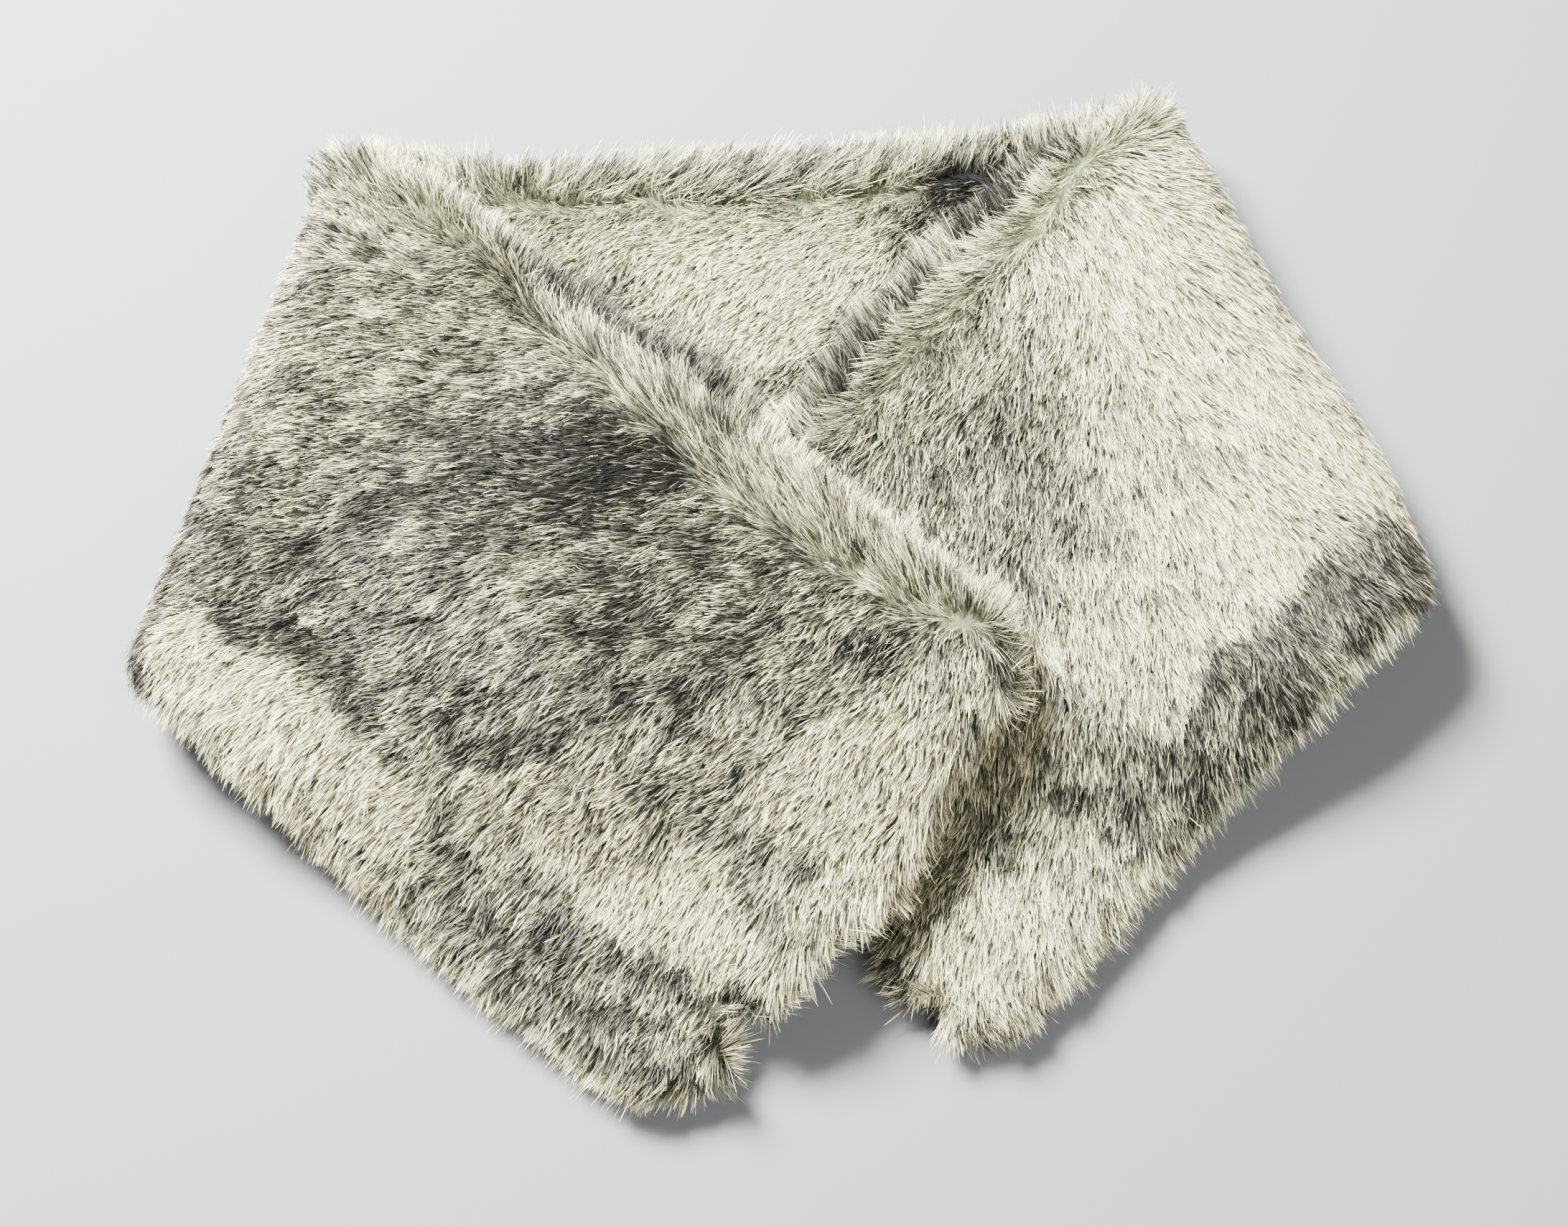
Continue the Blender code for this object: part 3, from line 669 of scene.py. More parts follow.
@dataclass(frozen=True)
class Layer:
    """One layer of the strip, as a surface over its course and its width.

    The course runs from 0 at the left end to 5 at the right one, 1 for each stretch, and width from
    -1 at the near edge to 1 at the far one. Rise is 0 on the seam face and 1 on the fur face.
    """

    face: Face
    inset_share: float
    end_inset: float
    backing: float
    pile: float
    rounding: float

    @property
    def facing(self) -> int:
        """1 where the fur of the fronts faces up from the seam plane, -1 where it faces down."""
        return 1 if self.face is Face.OUTER else -1

    def insets(self, course: Numbers, width: Numbers) -> Numbers:
        """How far in from the solid's edge this layer's own edge lies."""
        far, near = (read(INSETS[f"{self.face.value} {edge}"], course) for edge in ("far", "near"))
        return self.inset_share * np.where(width > 0, far, near)

    def height(self, *distances: Numbers) -> Numbers:
        """How thick the layer is at these distances in from its own edges.

        Args:
            distances: The distances from one or more edges.

        Returns:
            One height for each.
        """
        full = np.ones_like(distances[0])
        for distance in distances:
            full = full * round_off(distance, self.rounding)
        return self.backing + self.pile * full

    def front(self, fold: Fold, course: Numbers, width: Numbers, rise: float) -> Numbers:
        """Points of a front: course is 0 at its fold and 1 at its free end.

        Args:
            fold: The fold that it comes from.
            course: Places along it.
            width: Places across it, from -1 to 1.
            rise: 0 for the seam face, 1 for the fur face.

        Returns:
            One row of X, Y and Z for each.
        """
        place = STRIP_END - 1 + course if fold.hand > 0 else 1 - course
        inset = self.insets(place, width)
        v = width * (CUT.half - inset)
        length = fold.front_length(v)
        from_end = self.end_inset + (length - self.end_inset) * (1 - course)
        half = half_width(from_end - self.end_inset) - inset
        v = width * half
        fade = 1 - ease(from_end / CUT.end_stray_reach)
        moved_end = from_end - read(END_STRAY[fold.side], v) * fade
        moved_v = strayed(fold.side, 1 - from_end / length, v)
        plan, past = fold.front_plan(moved_end, moved_v)
        opened = 2 * (fold.turn(v) - CUT.tight_turn) * (1 - ease(past / CUT.open_reach))
        level = CUT.back_level + opened + 2 * CUT.tight_turn * over_back(plan)
        if fold is LEFT:
            level = level + 2 * CUT.tight_turn * RIGHT.over_front(plan)
        height = self.height(half - np.abs(v), from_end - self.end_inset)
        if self.face is Face.OUTER:
            pressed = height - self.pile / CUT.pile * fold.pressed(from_end, v)
            height = np.maximum(CUT.backing * CUT.least_backing, pressed)
        level = level + self.facing * (CUT.seam_gap / 2 + height * rise)
        return np.column_stack((plan, level))

    def fold(self, fold: Fold, course: Numbers, width: Numbers, rise: float) -> Numbers:
        """Points of a turn: course is 0 at the back stretch and 1 at its front.

        Args:
            fold: Which of the two turns.
            course: Places along it.
            width: Places across it, from -1 to 1.
            rise: 0 for the seam face, 1 for the fur face.

        Returns:
            One row of X, Y and Z for each.
        """
        place = 3 + course if fold.hand > 0 else 2 - course
        half = CUT.half - self.insets(place, width)
        v = width * half
        offset = self.facing * (CUT.seam_gap / 2 + self.height(half - np.abs(v)) * rise)
        angle, turn = math.pi * course, fold.turn(v)
        outwards = CUT.seam_gap + fold.reach(v, turn + offset) * np.sin(angle)
        level = CUT.back_level + turn - (turn + offset) * np.cos(angle)
        return np.column_stack((fold.plan(fold.along(math.pi * turn * course, v), outwards), level))

    def back(self, course: Numbers, width: Numbers, rise: float) -> Numbers:
        """Points of the back stretch: course is 0 at the left fold and 1 at the right one.

        Args:
            course: Places along it.
            width: Places across it, from -1 to 1.
            rise: 0 for the seam face, 1 for the fur face.

        Returns:
            One row of X, Y and Z for each.
        """
        half = CUT.half - self.insets(2 + course, width)
        v = width * half
        low, high = LEFT.fold_line(v), RIGHT.fold_line(v)
        plan = plan_of_back(low + (high - low) * course, strayed("back", course, v))
        offset = -self.facing * (CUT.seam_gap / 2 + self.height(half - np.abs(v)) * rise)
        return np.column_stack((plan, CUT.back_level + offset))

    def points(self, course: Numbers, width: Numbers, rise: float) -> Numbers:
        """Points of the whole layer.

        Args:
            course: Places along the strip, from 0 to 5.
            width: Places across it, from -1 to 1.
            rise: 0 for the seam face, 1 for the fur face.

        Returns:
            One row of X, Y and Z for each.
        """
        made = np.empty((len(course), 3))
        stretch = np.clip(course.astype(int), 0, STRIP_END - 1)
        for which in Stretch:
            here = stretch == which.value
            share, across = course[here] - which.value, width[here]
            match which:
                case Stretch.LEFT_FRONT:
                    made[here] = self.front(LEFT, 1 - share, across, rise)
                case Stretch.LEFT_FOLD:
                    made[here] = self.fold(LEFT, 1 - share, across, rise)
                case Stretch.BACK:
                    made[here] = self.back(share, across, rise)
                case Stretch.RIGHT_FOLD:
                    made[here] = self.fold(RIGHT, share, across, rise)
                case Stretch.RIGHT_FRONT:
                    made[here] = self.front(RIGHT, share, across, rise)
        made[:, :2] -= CUT.origin
        return made


def solid_layer(face: Face) -> Layer:
    """The layer at the full size of the solids."""
    return Layer(face, 0.0, 0.0, CUT.backing, CUT.pile, CUT.edge_rounding)


@dataclass(frozen=True)
class Course:
    """A grid over a layer, with the size, the openness and the frame of each place."""

    layer: Layer
    steps: int = 36
    across: int = 44
    nudge: float = 0.004

    @cached_property
    def grid(self) -> tuple[Numbers, Numbers]:
        """The course and the width of each corner, as two flat arrays."""
        along = np.linspace(0, STRIP_END, STRIP_END * self.steps + 1)
        width = np.linspace(-WIDEST, WIDEST, self.across + 1)
        course, place = np.meshgrid(along, width, indexing="ij")
        return course.ravel(), place.ravel()

    def shape(self, values: Numbers) -> Numbers:
        """Flat values as rows along the course."""
        return values.reshape(STRIP_END * self.steps + 1, self.across + 1, *values.shape[1:])

    def frame(
        self, course: Numbers, width: Numbers, on_seam: bool = False
    ) -> tuple[Numbers, Numbers, Numbers, Numbers]:
        """The surface at some places.

        Args:
            course: Places along the strip.
            width: Places across it.
            on_seam: Whether the seam face is meant, and not the fur face.

        Returns:
            The points of the face and its normals, and the seam plane's steps along and across.
        """
        points = self.layer.points
        low_course, high_course = (
            np.clip(course + step, 0, STRIP_END) for step in (-self.nudge, self.nudge)
        )
        low_width, high_width = (np.clip(width + step, -1, 1) for step in (-self.nudge, self.nudge))
        along, seam_along = (
            points(high_course, width, rise) - points(low_course, width, rise) for rise in (1.0, 0.0)
        )
        over, seam_over = (
            points(course, high_width, rise) - points(course, low_width, rise) for rise in (1.0, 0.0)
        )
        seam_along /= (high_course - low_course)[:, None]
        seam_over /= (high_width - low_width)[:, None]
        here = points(course, width, 1.0)
        risen = here - points(course, width, 0.0)
        normal = alike(normalised(np.cross(along, over)), risen)
        if on_seam:
            up = alike(normalised(np.cross(seam_along, seam_over)), -normal)
            return here - risen, up, seam_along, seam_over
        return here, normal, seam_along, seam_over


def sky_directions(count: int) -> Numbers:
    """Directions spread evenly over the upper half of a sphere.

    Args:
        count: How many.

    Returns:
        One row of X, Y and Z for each.
    """
    step = np.arange(count) + 0.5
    rise = step / count
    turn = step * math.pi * (3 - math.sqrt(5))
    level = np.sqrt(1 - rise * rise)
    return np.column_stack((level * np.cos(turn), level * np.sin(turn), rise))


def openness(
    solid: Course, tree: BVHTree, rays: int = 20, clear: float = 0.0022, grazing: float = -0.05
) -> Numbers:
    """The share of the sky that each corner of a grid, or one beside it, sees past the solids.

    Args:
        solid: The grid over a full-size layer.
        tree: All the solids.
        rays: How many directions are tried.
        clear: How far off the surface a ray starts.
        grazing: The least share of a direction that points off the surface.

    Returns:
        A share for each corner.
    """
    points, normals, _, _ = solid.frame(*solid.grid)
    starts = points + normals * clear
    seen = np.zeros(len(points))
    for direction in sky_directions(rays):
        way = Vector(direction)
        for index in np.flatnonzero(normals @ direction > grazing):
            if tree.ray_cast(Vector(starts[index]), way)[0] is None:
                seen[index] += 1
    wide = np.pad(solid.shape(seen), 1, mode="edge")
    near = (wide[1:-1, 1:-1], wide[2:, 1:-1], wide[:-2, 1:-1], wide[1:-1, 2:], wide[1:-1, :-2])
    return np.maximum.reduce(near).ravel() / rays


def solids_tree() -> BVHTree:
    """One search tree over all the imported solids.

    Returns:
        The tree.
    """
    corners, faces = [], []
    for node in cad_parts.values():
        first = len(corners)
        corners += [vertex.co.copy() for vertex in node.data.vertices]
        faces += [[first + index for index in face.vertices] for face in node.data.polygons]
    return BVHTree.FromPolygons(corners, faces)


@dataclass(frozen=True)
class Pattern:
    """The mottling and the nap of one coat, in plan."""

    name: str
    base_tone: float
    streak_deg: float
    contrast: float
    seed: int

    def noise(self, x: Numbers, y: Numbers, cell: float, which: int) -> Numbers:
        """One of the pattern's own noises, from -0.5 to 0.5."""
        return lattice_noise(x, y, cell, self.seed + which) - 0.5

    def tone(self, x: Numbers, y: Numbers) -> Numbers:
        """The tone at plan places, from 0 for cream to 1 for black.

        Args:
            x: Plan places.
            y: Plan places.

        Returns:
            One tone for each.
        """
        across, up = x, y
        for sway, cell, which in ((2 * RAGGED, 0.013, 0), (1.5 * RAGGED, 0.0045, 2)):
            across = across + sway * self.noise(x, y, cell, which)
            up = up + sway * self.noise(x, y, cell, which + 1)
        tone = np.full(x.shape, self.base_tone)
        for patch in PATCHES.get(self.name, ()):
            off_x, off_y = across - patch.x * MM, up - patch.y * MM
            run, aside = turned(off_x, off_y, math.radians(patch.turn_deg))
            apart = np.hypot(run / (patch.half_length * MM), aside / (patch.half_width * MM))
            tone += (patch.tone - tone) * (patch.strength * ease((PATCH_RIM - apart) / PATCH_FADE))
        run, aside = turned(x, y, math.radians(self.streak_deg))
        coarse = self.noise(run / 1.3, aside, 0.0070, 4)
        fine = self.noise(run / 2.6, aside, 0.0026, 5)
        held = np.clip(tone, 0.06, 0.94)
        return tone + self.contrast * (4 * held * (1 - held)) * (0.62 * coarse + 0.40 * fine)

    def heading(self, group: str, x: Numbers, y: Numbers) -> Numbers:
        """The nap of one group of arrows, as plan directions.

        Args:
            group: The arrows' group.
            x: Plan places.
            y: Plan places.

        Returns:
            One direction for each place.
        """
        total = np.zeros((len(x), 2))
        for arrow in ARROWS.get(group, ()):
            apart = (x / MM - arrow.x) ** 2 + (y / MM - arrow.y) ** 2
            way = math.radians(arrow.heading_deg)
            weight = 1 / (apart + ARROW_CORE) ** ARROW_FALL
            total += weight[:, None] * np.array((math.cos(way), math.sin(way)))
        return normalised(total)

    def past_parting(self, x: Numbers, y: Numbers) -> Numbers:
        """How far plan places are beyond the parting, on the ridge's side of it.

        Args:
            x: Plan places.
            y: Plan places.

        Returns:
            One distance for each, less than 0 on the other side.
        """
        places = [np.array(place) * MM for place in PARTINGS.get(self.name, ())]
        nearest, signed = np.full(x.shape, 1.0), np.full(x.shape, -1.0)
        here = np.column_stack((x, y))
        for start, end in zip(places, places[1:]):
            run = end - start
            share = np.clip((here - start) @ run / (run @ run), 0, 1)
            off = here - start - share[:, None] * run
            apart = np.linalg.norm(off, axis=1)
            side = np.sign(run[0] * off[:, 1] - run[1] * off[:, 0])
            closer = apart < nearest
            nearest = np.where(closer, apart, nearest)
            signed = np.where(closer, apart * side, signed)
        return signed

    def bared(self, x: Numbers, y: Numbers) -> tuple[Numbers, Numbers]:
        """How much of the roots shows at plan places, from 0 to 1, and the way out of that spot.

        Args:
            x: Plan places.
            y: Plan places.

        Returns:
            One share and one plan direction for each.
        """
        shown, away = np.zeros(x.shape), np.zeros((len(x), 2))
        for spot in SPOTS.get(self.name, ()):
            off = np.column_stack((x / MM - spot.x, y / MM - spot.y)) / spot.radius
            here = spot.strength * np.exp(-np.einsum("ij,ij->i", off, off))
            away += here[:, None] * off
            shown = np.maximum(shown, here)
        return shown, normalised(away + TINY)

    def nap(self, x: Numbers, y: Numbers) -> tuple[Numbers, Numbers]:
        """The plan direction in which the hair lies, and how far it is past the parting.

        Args:
            x: Plan places.
            y: Plan places.

        Returns:
            One direction and one distance for each place.
        """
        body = self.heading(self.name, x, y)
        past = self.past_parting(x, y) + 0.007 * self.noise(x, y, 0.014, 6)
        ridge = f"{self.name} ridge"
        if ridge not in ARROWS:
            return body, past
        return blend(body, self.heading(ridge, x, y), ease((past + 0.0045) / 0.009)), past


def over_surface(heading: Numbers, normal: Numbers) -> Numbers:
    """Plan directions, carried over the surface by the turn that takes +Z to its normal.

    Args:
        heading: The plan directions.
        normal: The surface's normals.

    Returns:
        One direction along the surface for each.
    """
    x, y = heading[:, 0], heading[:, 1]
    nx, ny, nz = normal.T
    swing = (nx * y - ny * x) / np.maximum(1 + nz, 0.05)
    return normalised(np.column_stack((x * nz - ny * swing, y * nz + nx * swing, -(nx * x + ny * y))))


@dataclass(frozen=True)
class Growth:
    """How the hair of a coat grows, in metres and degrees."""

    length: float = 0.0088
    ridge_length: float = 0.0165
    edge_length: float = 0.0140
    length_spread: float = 0.13
    lift_deg: float = 26.0
    tip_lift_deg: float = 8.0
    ridge_lift_deg: float = 6.0
    parting_lift_deg: float = 30.0
    edge_lift_deg: float = 4.0
    slope_lift_deg: float = 16.0
    guard_lift_deg: float = 3.0
    edge_tip_drop_deg: float = 8.0
    lowest_lift_deg: float = 4.0
    lift_spread_deg: float = 7.0
    tip_spread_deg: float = 6.0
    swing_deg: float = 9.0
    parting_swing_deg: float = 26.0
    bend_deg: float = 10.0
    roll_deg: float = 36.0
    blade: float = 0.00034
    sink: float = 0.0006
    lock_step: float = 0.0012
    lock_pull: float = 0.80
    clump_step: float = 0.0055
    clump_pull: float = 0.12
    edge_reach: float = 0.011
    edge_pull: float = 0.45
    ridge_reach: float = 0.004
    parting_width: float = 0.0075
    guard_share: float = 0.16
    guard_lengths: tuple[float, float] = (1.10, 0.97)
    guard_bends: tuple[float, float] = (0.60, 0.46)
    ridge_bare: float = 0.70
    thinning: float = 0.42
    spot_thinning: float = 0.8
    wander_deg: float = 34.0


@dataclass(frozen=True)
class Roots:
    """The roots of a coat's hairs, with the surface and the nap at each of them."""

    growth: Growth
    course: Numbers
    width: Numbers
    place: Numbers
    normal: Numbers
    seam_along: Numbers
    seam_over: Numbers
    heading: Numbers
    past: Numbers
    spots: Numbers
    away: Numbers

    @cached_property
    def at_edges(self) -> tuple[Numbers, Numbers, Numbers, Numbers]:
        """How near the far edge, the near edge, the left end and the right end are, from 0 to 1."""
        over, along = (np.linalg.norm(step, axis=1) for step in (self.seam_over, self.seam_along))
        distances = (
            (1 - self.width) * over,
            (1 + self.width) * over,
            self.course * along,
            (STRIP_END - self.course) * along,
        )
        return tuple(1 - ease(distance / self.growth.edge_reach) for distance in distances)

    @cached_property
    def edge(self) -> Numbers:
        """How near any edge or end is, from 0 to 1."""
        far, near, left, right = self.at_edges
        return np.clip(far + near + left + right, 0, 1)

    @cached_property
    def outward(self) -> Numbers:
        """The way out over the nearest edge or end."""
        far, near, left, right = (share[:, None] for share in self.at_edges)
        over = normalised(self.seam_over)
        out = far * over - near * over + (right - left) * normalised(self.seam_along)
        return normalised(out + TINY)

    @cached_property
    def standing(self) -> Numbers:
        """The way up from the fur face, or from the seam plane at an edge."""
        up = alike(normalised(np.cross(self.seam_along, self.seam_over)), self.normal)
        return blend(self.normal, up, self.edge)

    @cached_property
    def ridge(self) -> Numbers:
        """1 on the ridge past the parting, easing to 0 before it."""
        return ease(self.past / self.growth.ridge_reach)

    @cached_property
    def parting(self) -> Numbers:
        """How near the parting is, from 0 to 1, and mostly where a spot lies on it."""
        near = np.exp(-((self.past / self.growth.parting_width) ** 2))
        return near * (0.15 + 0.85 * self.spots)


@dataclass
class Coat:
    """The pile of one face of the wrap between two places along the strip."""

    name: str
    face: Face
    low_course: float
    high_course: float
    pattern: Pattern
    growth: Growth
    seed: int
    outward_only: bool = False
    on_seam: bool = False
    low_width: float = -1.0
    high_width: float = 1.0
    density: float = 1.0

    most_hairs: int = 95_000

    @property
    def slot(self) -> str:
        """A slot name, from the face of the coat."""
        return f"{self.face.value}_fur"

    def spread(self, shell: Course, open_share: Numbers) -> tuple[Numbers, Numbers]:
        """Places for the roots, by area, where the pile can be seen.

        Args:
            shell: The grid over the layer's own shell.
            open_share: The openness of each corner.

        Returns:
            The course and the width of each root.
        """
        rng = np.random.default_rng(self.seed)
        course, width = (shell.shape(part) for part in shell.grid)
        points = shell.shape(shell.layer.points(*shell.grid, 1.0))
        along = np.diff(points[:, :-1], axis=0)
        over = np.diff(points[:-1], axis=1)
        area = np.linalg.norm(np.cross(along, over), axis=-1)
        sky = shell.shape(np.clip(open_share / OPEN_ENOUGH, 0, 1))
        sky = (sky[:-1, :-1] + sky[1:, :-1] + sky[:-1, 1:] + sky[1:, 1:]) / 4
        if self.on_seam:
            sky = np.ones_like(sky)
        middle = (course[:-1, :-1] + course[1:, :-1]) / 2
        inside = (middle > self.low_course) & (middle < self.high_course)
        inside &= (width[:-1, :-1] >= self.low_width) & (width[:-1, :-1] <= self.high_width)
        weight = (area * sky * inside).ravel()
        count = int(weight.sum() * HAIRS_PER_AREA * self.density)
        ladder = np.cumsum(weight) / weight.sum()
        cell = np.searchsorted(ladder, (np.arange(count) + rng.random(count)) / count)
        cell = np.minimum(cell, len(weight) - 1)
        row, column = np.divmod(cell, area.shape[1])
        step_course, step_width = course[1, 0] - course[0, 0], width[0, 1] - width[0, 0]
        return (
            course[row, column] + rng.random(count) * step_course,
            np.clip(width[row, column] + rng.random(count) * step_width, -WIDEST, WIDEST),
        )

    def gather(
        self, hair: dict[str, Numbers], step: float, pull: Numbers, rng: np.random.Generator
    ) -> Numbers:
        """Draws the hairs together into locks.

        Args:
            hair: The roots, knees and tips, which are changed.
            step: The distance from one lock to the next.
            pull: The share of the way that a tip moves to its lock's own tip.
            rng: The source of chance.

        Returns:
            The index of each hair's lock.
        """
        roots = hair["root"]
        count = max(8, int(hair["area"] / step**2))
        middles = rng.choice(len(roots), size=min(count, len(roots)), replace=False)
        tree = KDTree(len(middles))
        for index, middle in enumerate(middles):
            tree.insert(roots[middle], index)
        tree.balance()
        lock = np.fromiter((tree.find(root)[1] for root in roots), np.int64, len(roots))
        lead = middles[lock]
        share = (pull * rng.uniform(0.75, 1.08, len(roots)))[:, None]
        lying = normalised(hair["tip"] - roots)
        for part, much in (("tip", 1.0), ("knee", 0.7)):
            gap = hair[part][lead] - hair[part]
            gap -= 0.75 * np.einsum("ij,ij->i", gap, lying)[:, None] * lying
            hair[part] += much * share * gap
        return lock

    def rooted(self, shell: Course, open_share: Numbers, rng: np.random.Generator) -> Roots:
        """The roots of the coat, fewer on the ridge and in the barest spots.

        Args:
            shell: The grid over the layer's own shell.
            open_share: The openness of each corner.
            rng: The source of chance.

        Returns:
            The roots that are left.
        """
        growth = self.growth
        course, width = self.spread(shell, open_share)
        surface = shell.frame(course, width, self.on_seam)
        x, y = surface[0][:, 0], surface[0][:, 1]
        heading, past = self.pattern.nap(x, y)
        ahead = 0.4 * growth.length * heading
        spots, away = self.pattern.bared(x + ahead[:, 0], y + ahead[:, 1])
        lost = growth.thinning * ease(past / growth.ridge_reach)
        lost = lost + growth.spot_thinning * np.clip(spots - 1, 0, 1)
        kept = rng.random(len(x)) > lost
        parts = (course, width, *surface, heading, past, spots, away)
        return Roots(growth, *(part[kept] for part in parts))

    def lying(self, roots: Roots) -> Numbers:
        """The way in which the hair lies over the surface at each root.

        Args:
            roots: The roots of the coat.

        Returns:
            One direction for each.
        """
        x, y = roots.place[:, 0], roots.place[:, 1]
        heading = blend(roots.heading, roots.away, np.clip(0.36 * roots.spots, 0, 0.85))
        wander = lattice_noise(x, y, 0.0095, self.seed + 3)
        wander = wander + 0.6 * lattice_noise(x, y, 0.004, self.seed + 4) - 0.8
        turn = np.radians(self.growth.wander_deg * wander)
        heading = swung(heading, heading[:, ::-1] * (-1, 1), turn)
        pull = roots.edge * (1.0 if self.outward_only else self.growth.edge_pull)
        return blend(over_surface(heading, roots.normal), roots.outward, pull)

    def lifts(
        self, roots: Roots, guard: Numbers, of_lift: Numbers, of_tip: Numbers
    ) -> tuple[Numbers, Numbers]:
        """How far the lower and the upper half of each hair stand up, in radians.

        Args:
            roots: The roots of the coat.
            guard: Which of the hairs are the longer, straighter guard hairs.
            of_lift: The chance of each lower half.
            of_tip: The chance of each upper half.

        Returns:
            Two angles for each hair.
        """
        growth, edge = self.growth, roots.edge
        lift = growth.lift_deg + growth.ridge_lift_deg * roots.ridge
        lift += growth.parting_lift_deg * roots.parting
        lift += growth.slope_lift_deg * ease((0.9 - roots.normal[:, 2]) / 0.6) * (1 - edge)
        lift += (growth.edge_lift_deg - 0.4 * growth.lift_deg) * edge
        lift += growth.lift_spread_deg * of_lift
        tip_lift = growth.tip_lift_deg + 0.75 * growth.ridge_lift_deg * roots.ridge
        tip_lift += growth.tip_spread_deg * of_tip
        tip_lift += 0.5 * growth.parting_lift_deg * roots.parting - growth.edge_tip_drop_deg * edge
        lift, tip_lift = (each + growth.guard_lift_deg * guard for each in (lift, tip_lift))
        return (
            np.radians(np.clip(lift, growth.lowest_lift_deg, 82)),
            np.radians(np.clip(tip_lift, -25, 70)),
        )

    def toned(
        self, roots: Roots, seen: Numbers, guard: Numbers, of_lock: Numbers, of_hair: Numbers
    ) -> Numbers:
        """The tone of each hair: that of the place where it is seen, darker or paler by chance; the darker
        locks and hairs are partly painted shade between the locks.

        Args:
            roots: The roots of the coat.
            seen: The part of each hair that shows most.
            guard: Which of the hairs are the longer, straighter guard hairs.
            of_lock: The chance of each hair's lock.
            of_hair: The chance of each hair.

        Returns:
            A tone from 0 to 1 for each.
        """
        tone = self.pattern.tone(seen[:, 0], seen[:, 1])
        room = ease(2 * np.clip(tone, 0, 1))
        deep = np.clip(tone - 0.65, 0, 0.35)
        tone = tone + LOCK_SWAY.at(room) * of_lock + HAIR_SWAY.at(room) * of_hair
        tone = tone + np.where(guard, GUARD_SWAY.at(room), WOOL_TONE)
        tone = tone + RIDGE_SWAY * roots.ridge * of_lock
        # Darker locks and hairs by chance: partly mixed tones, partly painted shade between the locks.
        tone = tone + DARK_LOCKS.of(of_lock) + DARK_HAIRS.of(of_hair)
        tone = tone - PALE_IN_DARK * deep * (PALE_LOCKS.of(-of_lock) + PALE_HAIRS.of(-of_hair))
        return np.clip(tone, 0, 1)

    def bareness(self, roots: Roots, of_lock: Numbers, of_hair: Numbers) -> Numbers:
        """How far up each hair its root colour reaches, from 0 to 1: real roots at spots, partings and the
        ridge, and by chance partly painted shade between the locks.

        Args:
            roots: The roots of the coat.
            of_lock: The chance of each hair's lock.
            of_hair: The chance of each hair.

        Returns:
            One share for each.
        """
        bare = roots.spots + 0.3 * roots.parting + self.growth.ridge_bare * roots.ridge
        bare = np.clip(bare, 0, 1) * (1 + 0.5 * of_lock) + 0.22 * roots.ridge * of_lock
        # Root colour further up by chance: partly painted shade between the locks.
        return np.clip(bare + BARE_AND_SHADED_LOCKS.of(of_lock) + BARE_AND_SHADED_HAIRS.of(of_hair), 0, 1)

    def grow(self, shell: Course, open_share: Numbers) -> dict[str, Numbers]:
        """Grows the hairs of the coat as roots, knees and tips, with their tones.

        Args:
            shell: The grid over the layer's own shell.
            open_share: The openness of each corner.

        Returns:
            The hairs' own arrays, by name.
        """
        rng = np.random.default_rng(self.seed + 1)
        growth = self.growth
        roots = self.rooted(shell, open_share, rng)
        edge, standing, lying = roots.edge, roots.standing, self.lying(roots)
        count = len(roots.course)
        of_lift, of_tip, of_length, of_swing, of_bend, of_tone, of_root = rng.normal(size=(7, count))
        guard = rng.random(count) < growth.guard_share
        lift, tip_lift = self.lifts(roots, guard, of_lift, of_tip)
        length = growth.length + (growth.ridge_length - growth.length) * roots.ridge
        length = length + (growth.edge_length - length) * edge
        length = length * np.clip(1 + growth.length_spread * of_length, 0.6, 1.35)
        length = length * np.where(guard, *growth.guard_lengths)
        aside = np.cross(standing, lying)
        swing = (growth.swing_deg + growth.parting_swing_deg * roots.parting) * of_swing
        first = swung(lying, aside, np.radians(swing))
        second = swung(lying, aside, np.radians(swing + growth.bend_deg * of_bend))
        bend_at = np.where(guard, *growth.guard_bends)
        root = roots.place - standing * growth.sink
        knee = root + (bend_at * length)[:, None] * swung(first, standing, lift)
        tip = knee + ((1 - bend_at) * length)[:, None] * swung(second, standing, tip_lift)
        hair = {"root": root, "knee": knee, "tip": tip, "area": count / HAIRS_PER_AREA / self.density}
        clump = self.gather(hair, growth.clump_step, growth.clump_pull * (1 + 0.5 * edge), rng)
        lock = self.gather(hair, growth.lock_step, growth.lock_pull * (1 - 0.55 * edge), rng)
        reach = 1 + (0.06 + 0.06 * edge) * rng.normal(size=clump.max() + 1)[clump]
        hair["tip"] = root + (hair["tip"] - root) * np.clip(reach, 0.6, 1.45)[:, None]
        for part in ("knee", "tip"):
            spare = 0.0004 * rng.random(count)
            hair[part][:, 2] = np.clip(hair[part][:, 2], 0.0003 + spare, HIGHEST - spare)
        of_lock = rng.normal(size=lock.max() + 1)[lock]
        seen = root + 0.75 * (hair["tip"] - root)
        hair.update(
            normal=standing, course=roots.course, bend_at=bend_at,
            thick=growth.blade / 2 * rng.uniform(0.7, 1.25, count),
            tone=self.toned(roots, seen, guard, of_lock, of_tone),
            bare=self.bareness(roots, of_lock, of_root),
        )
        return hair

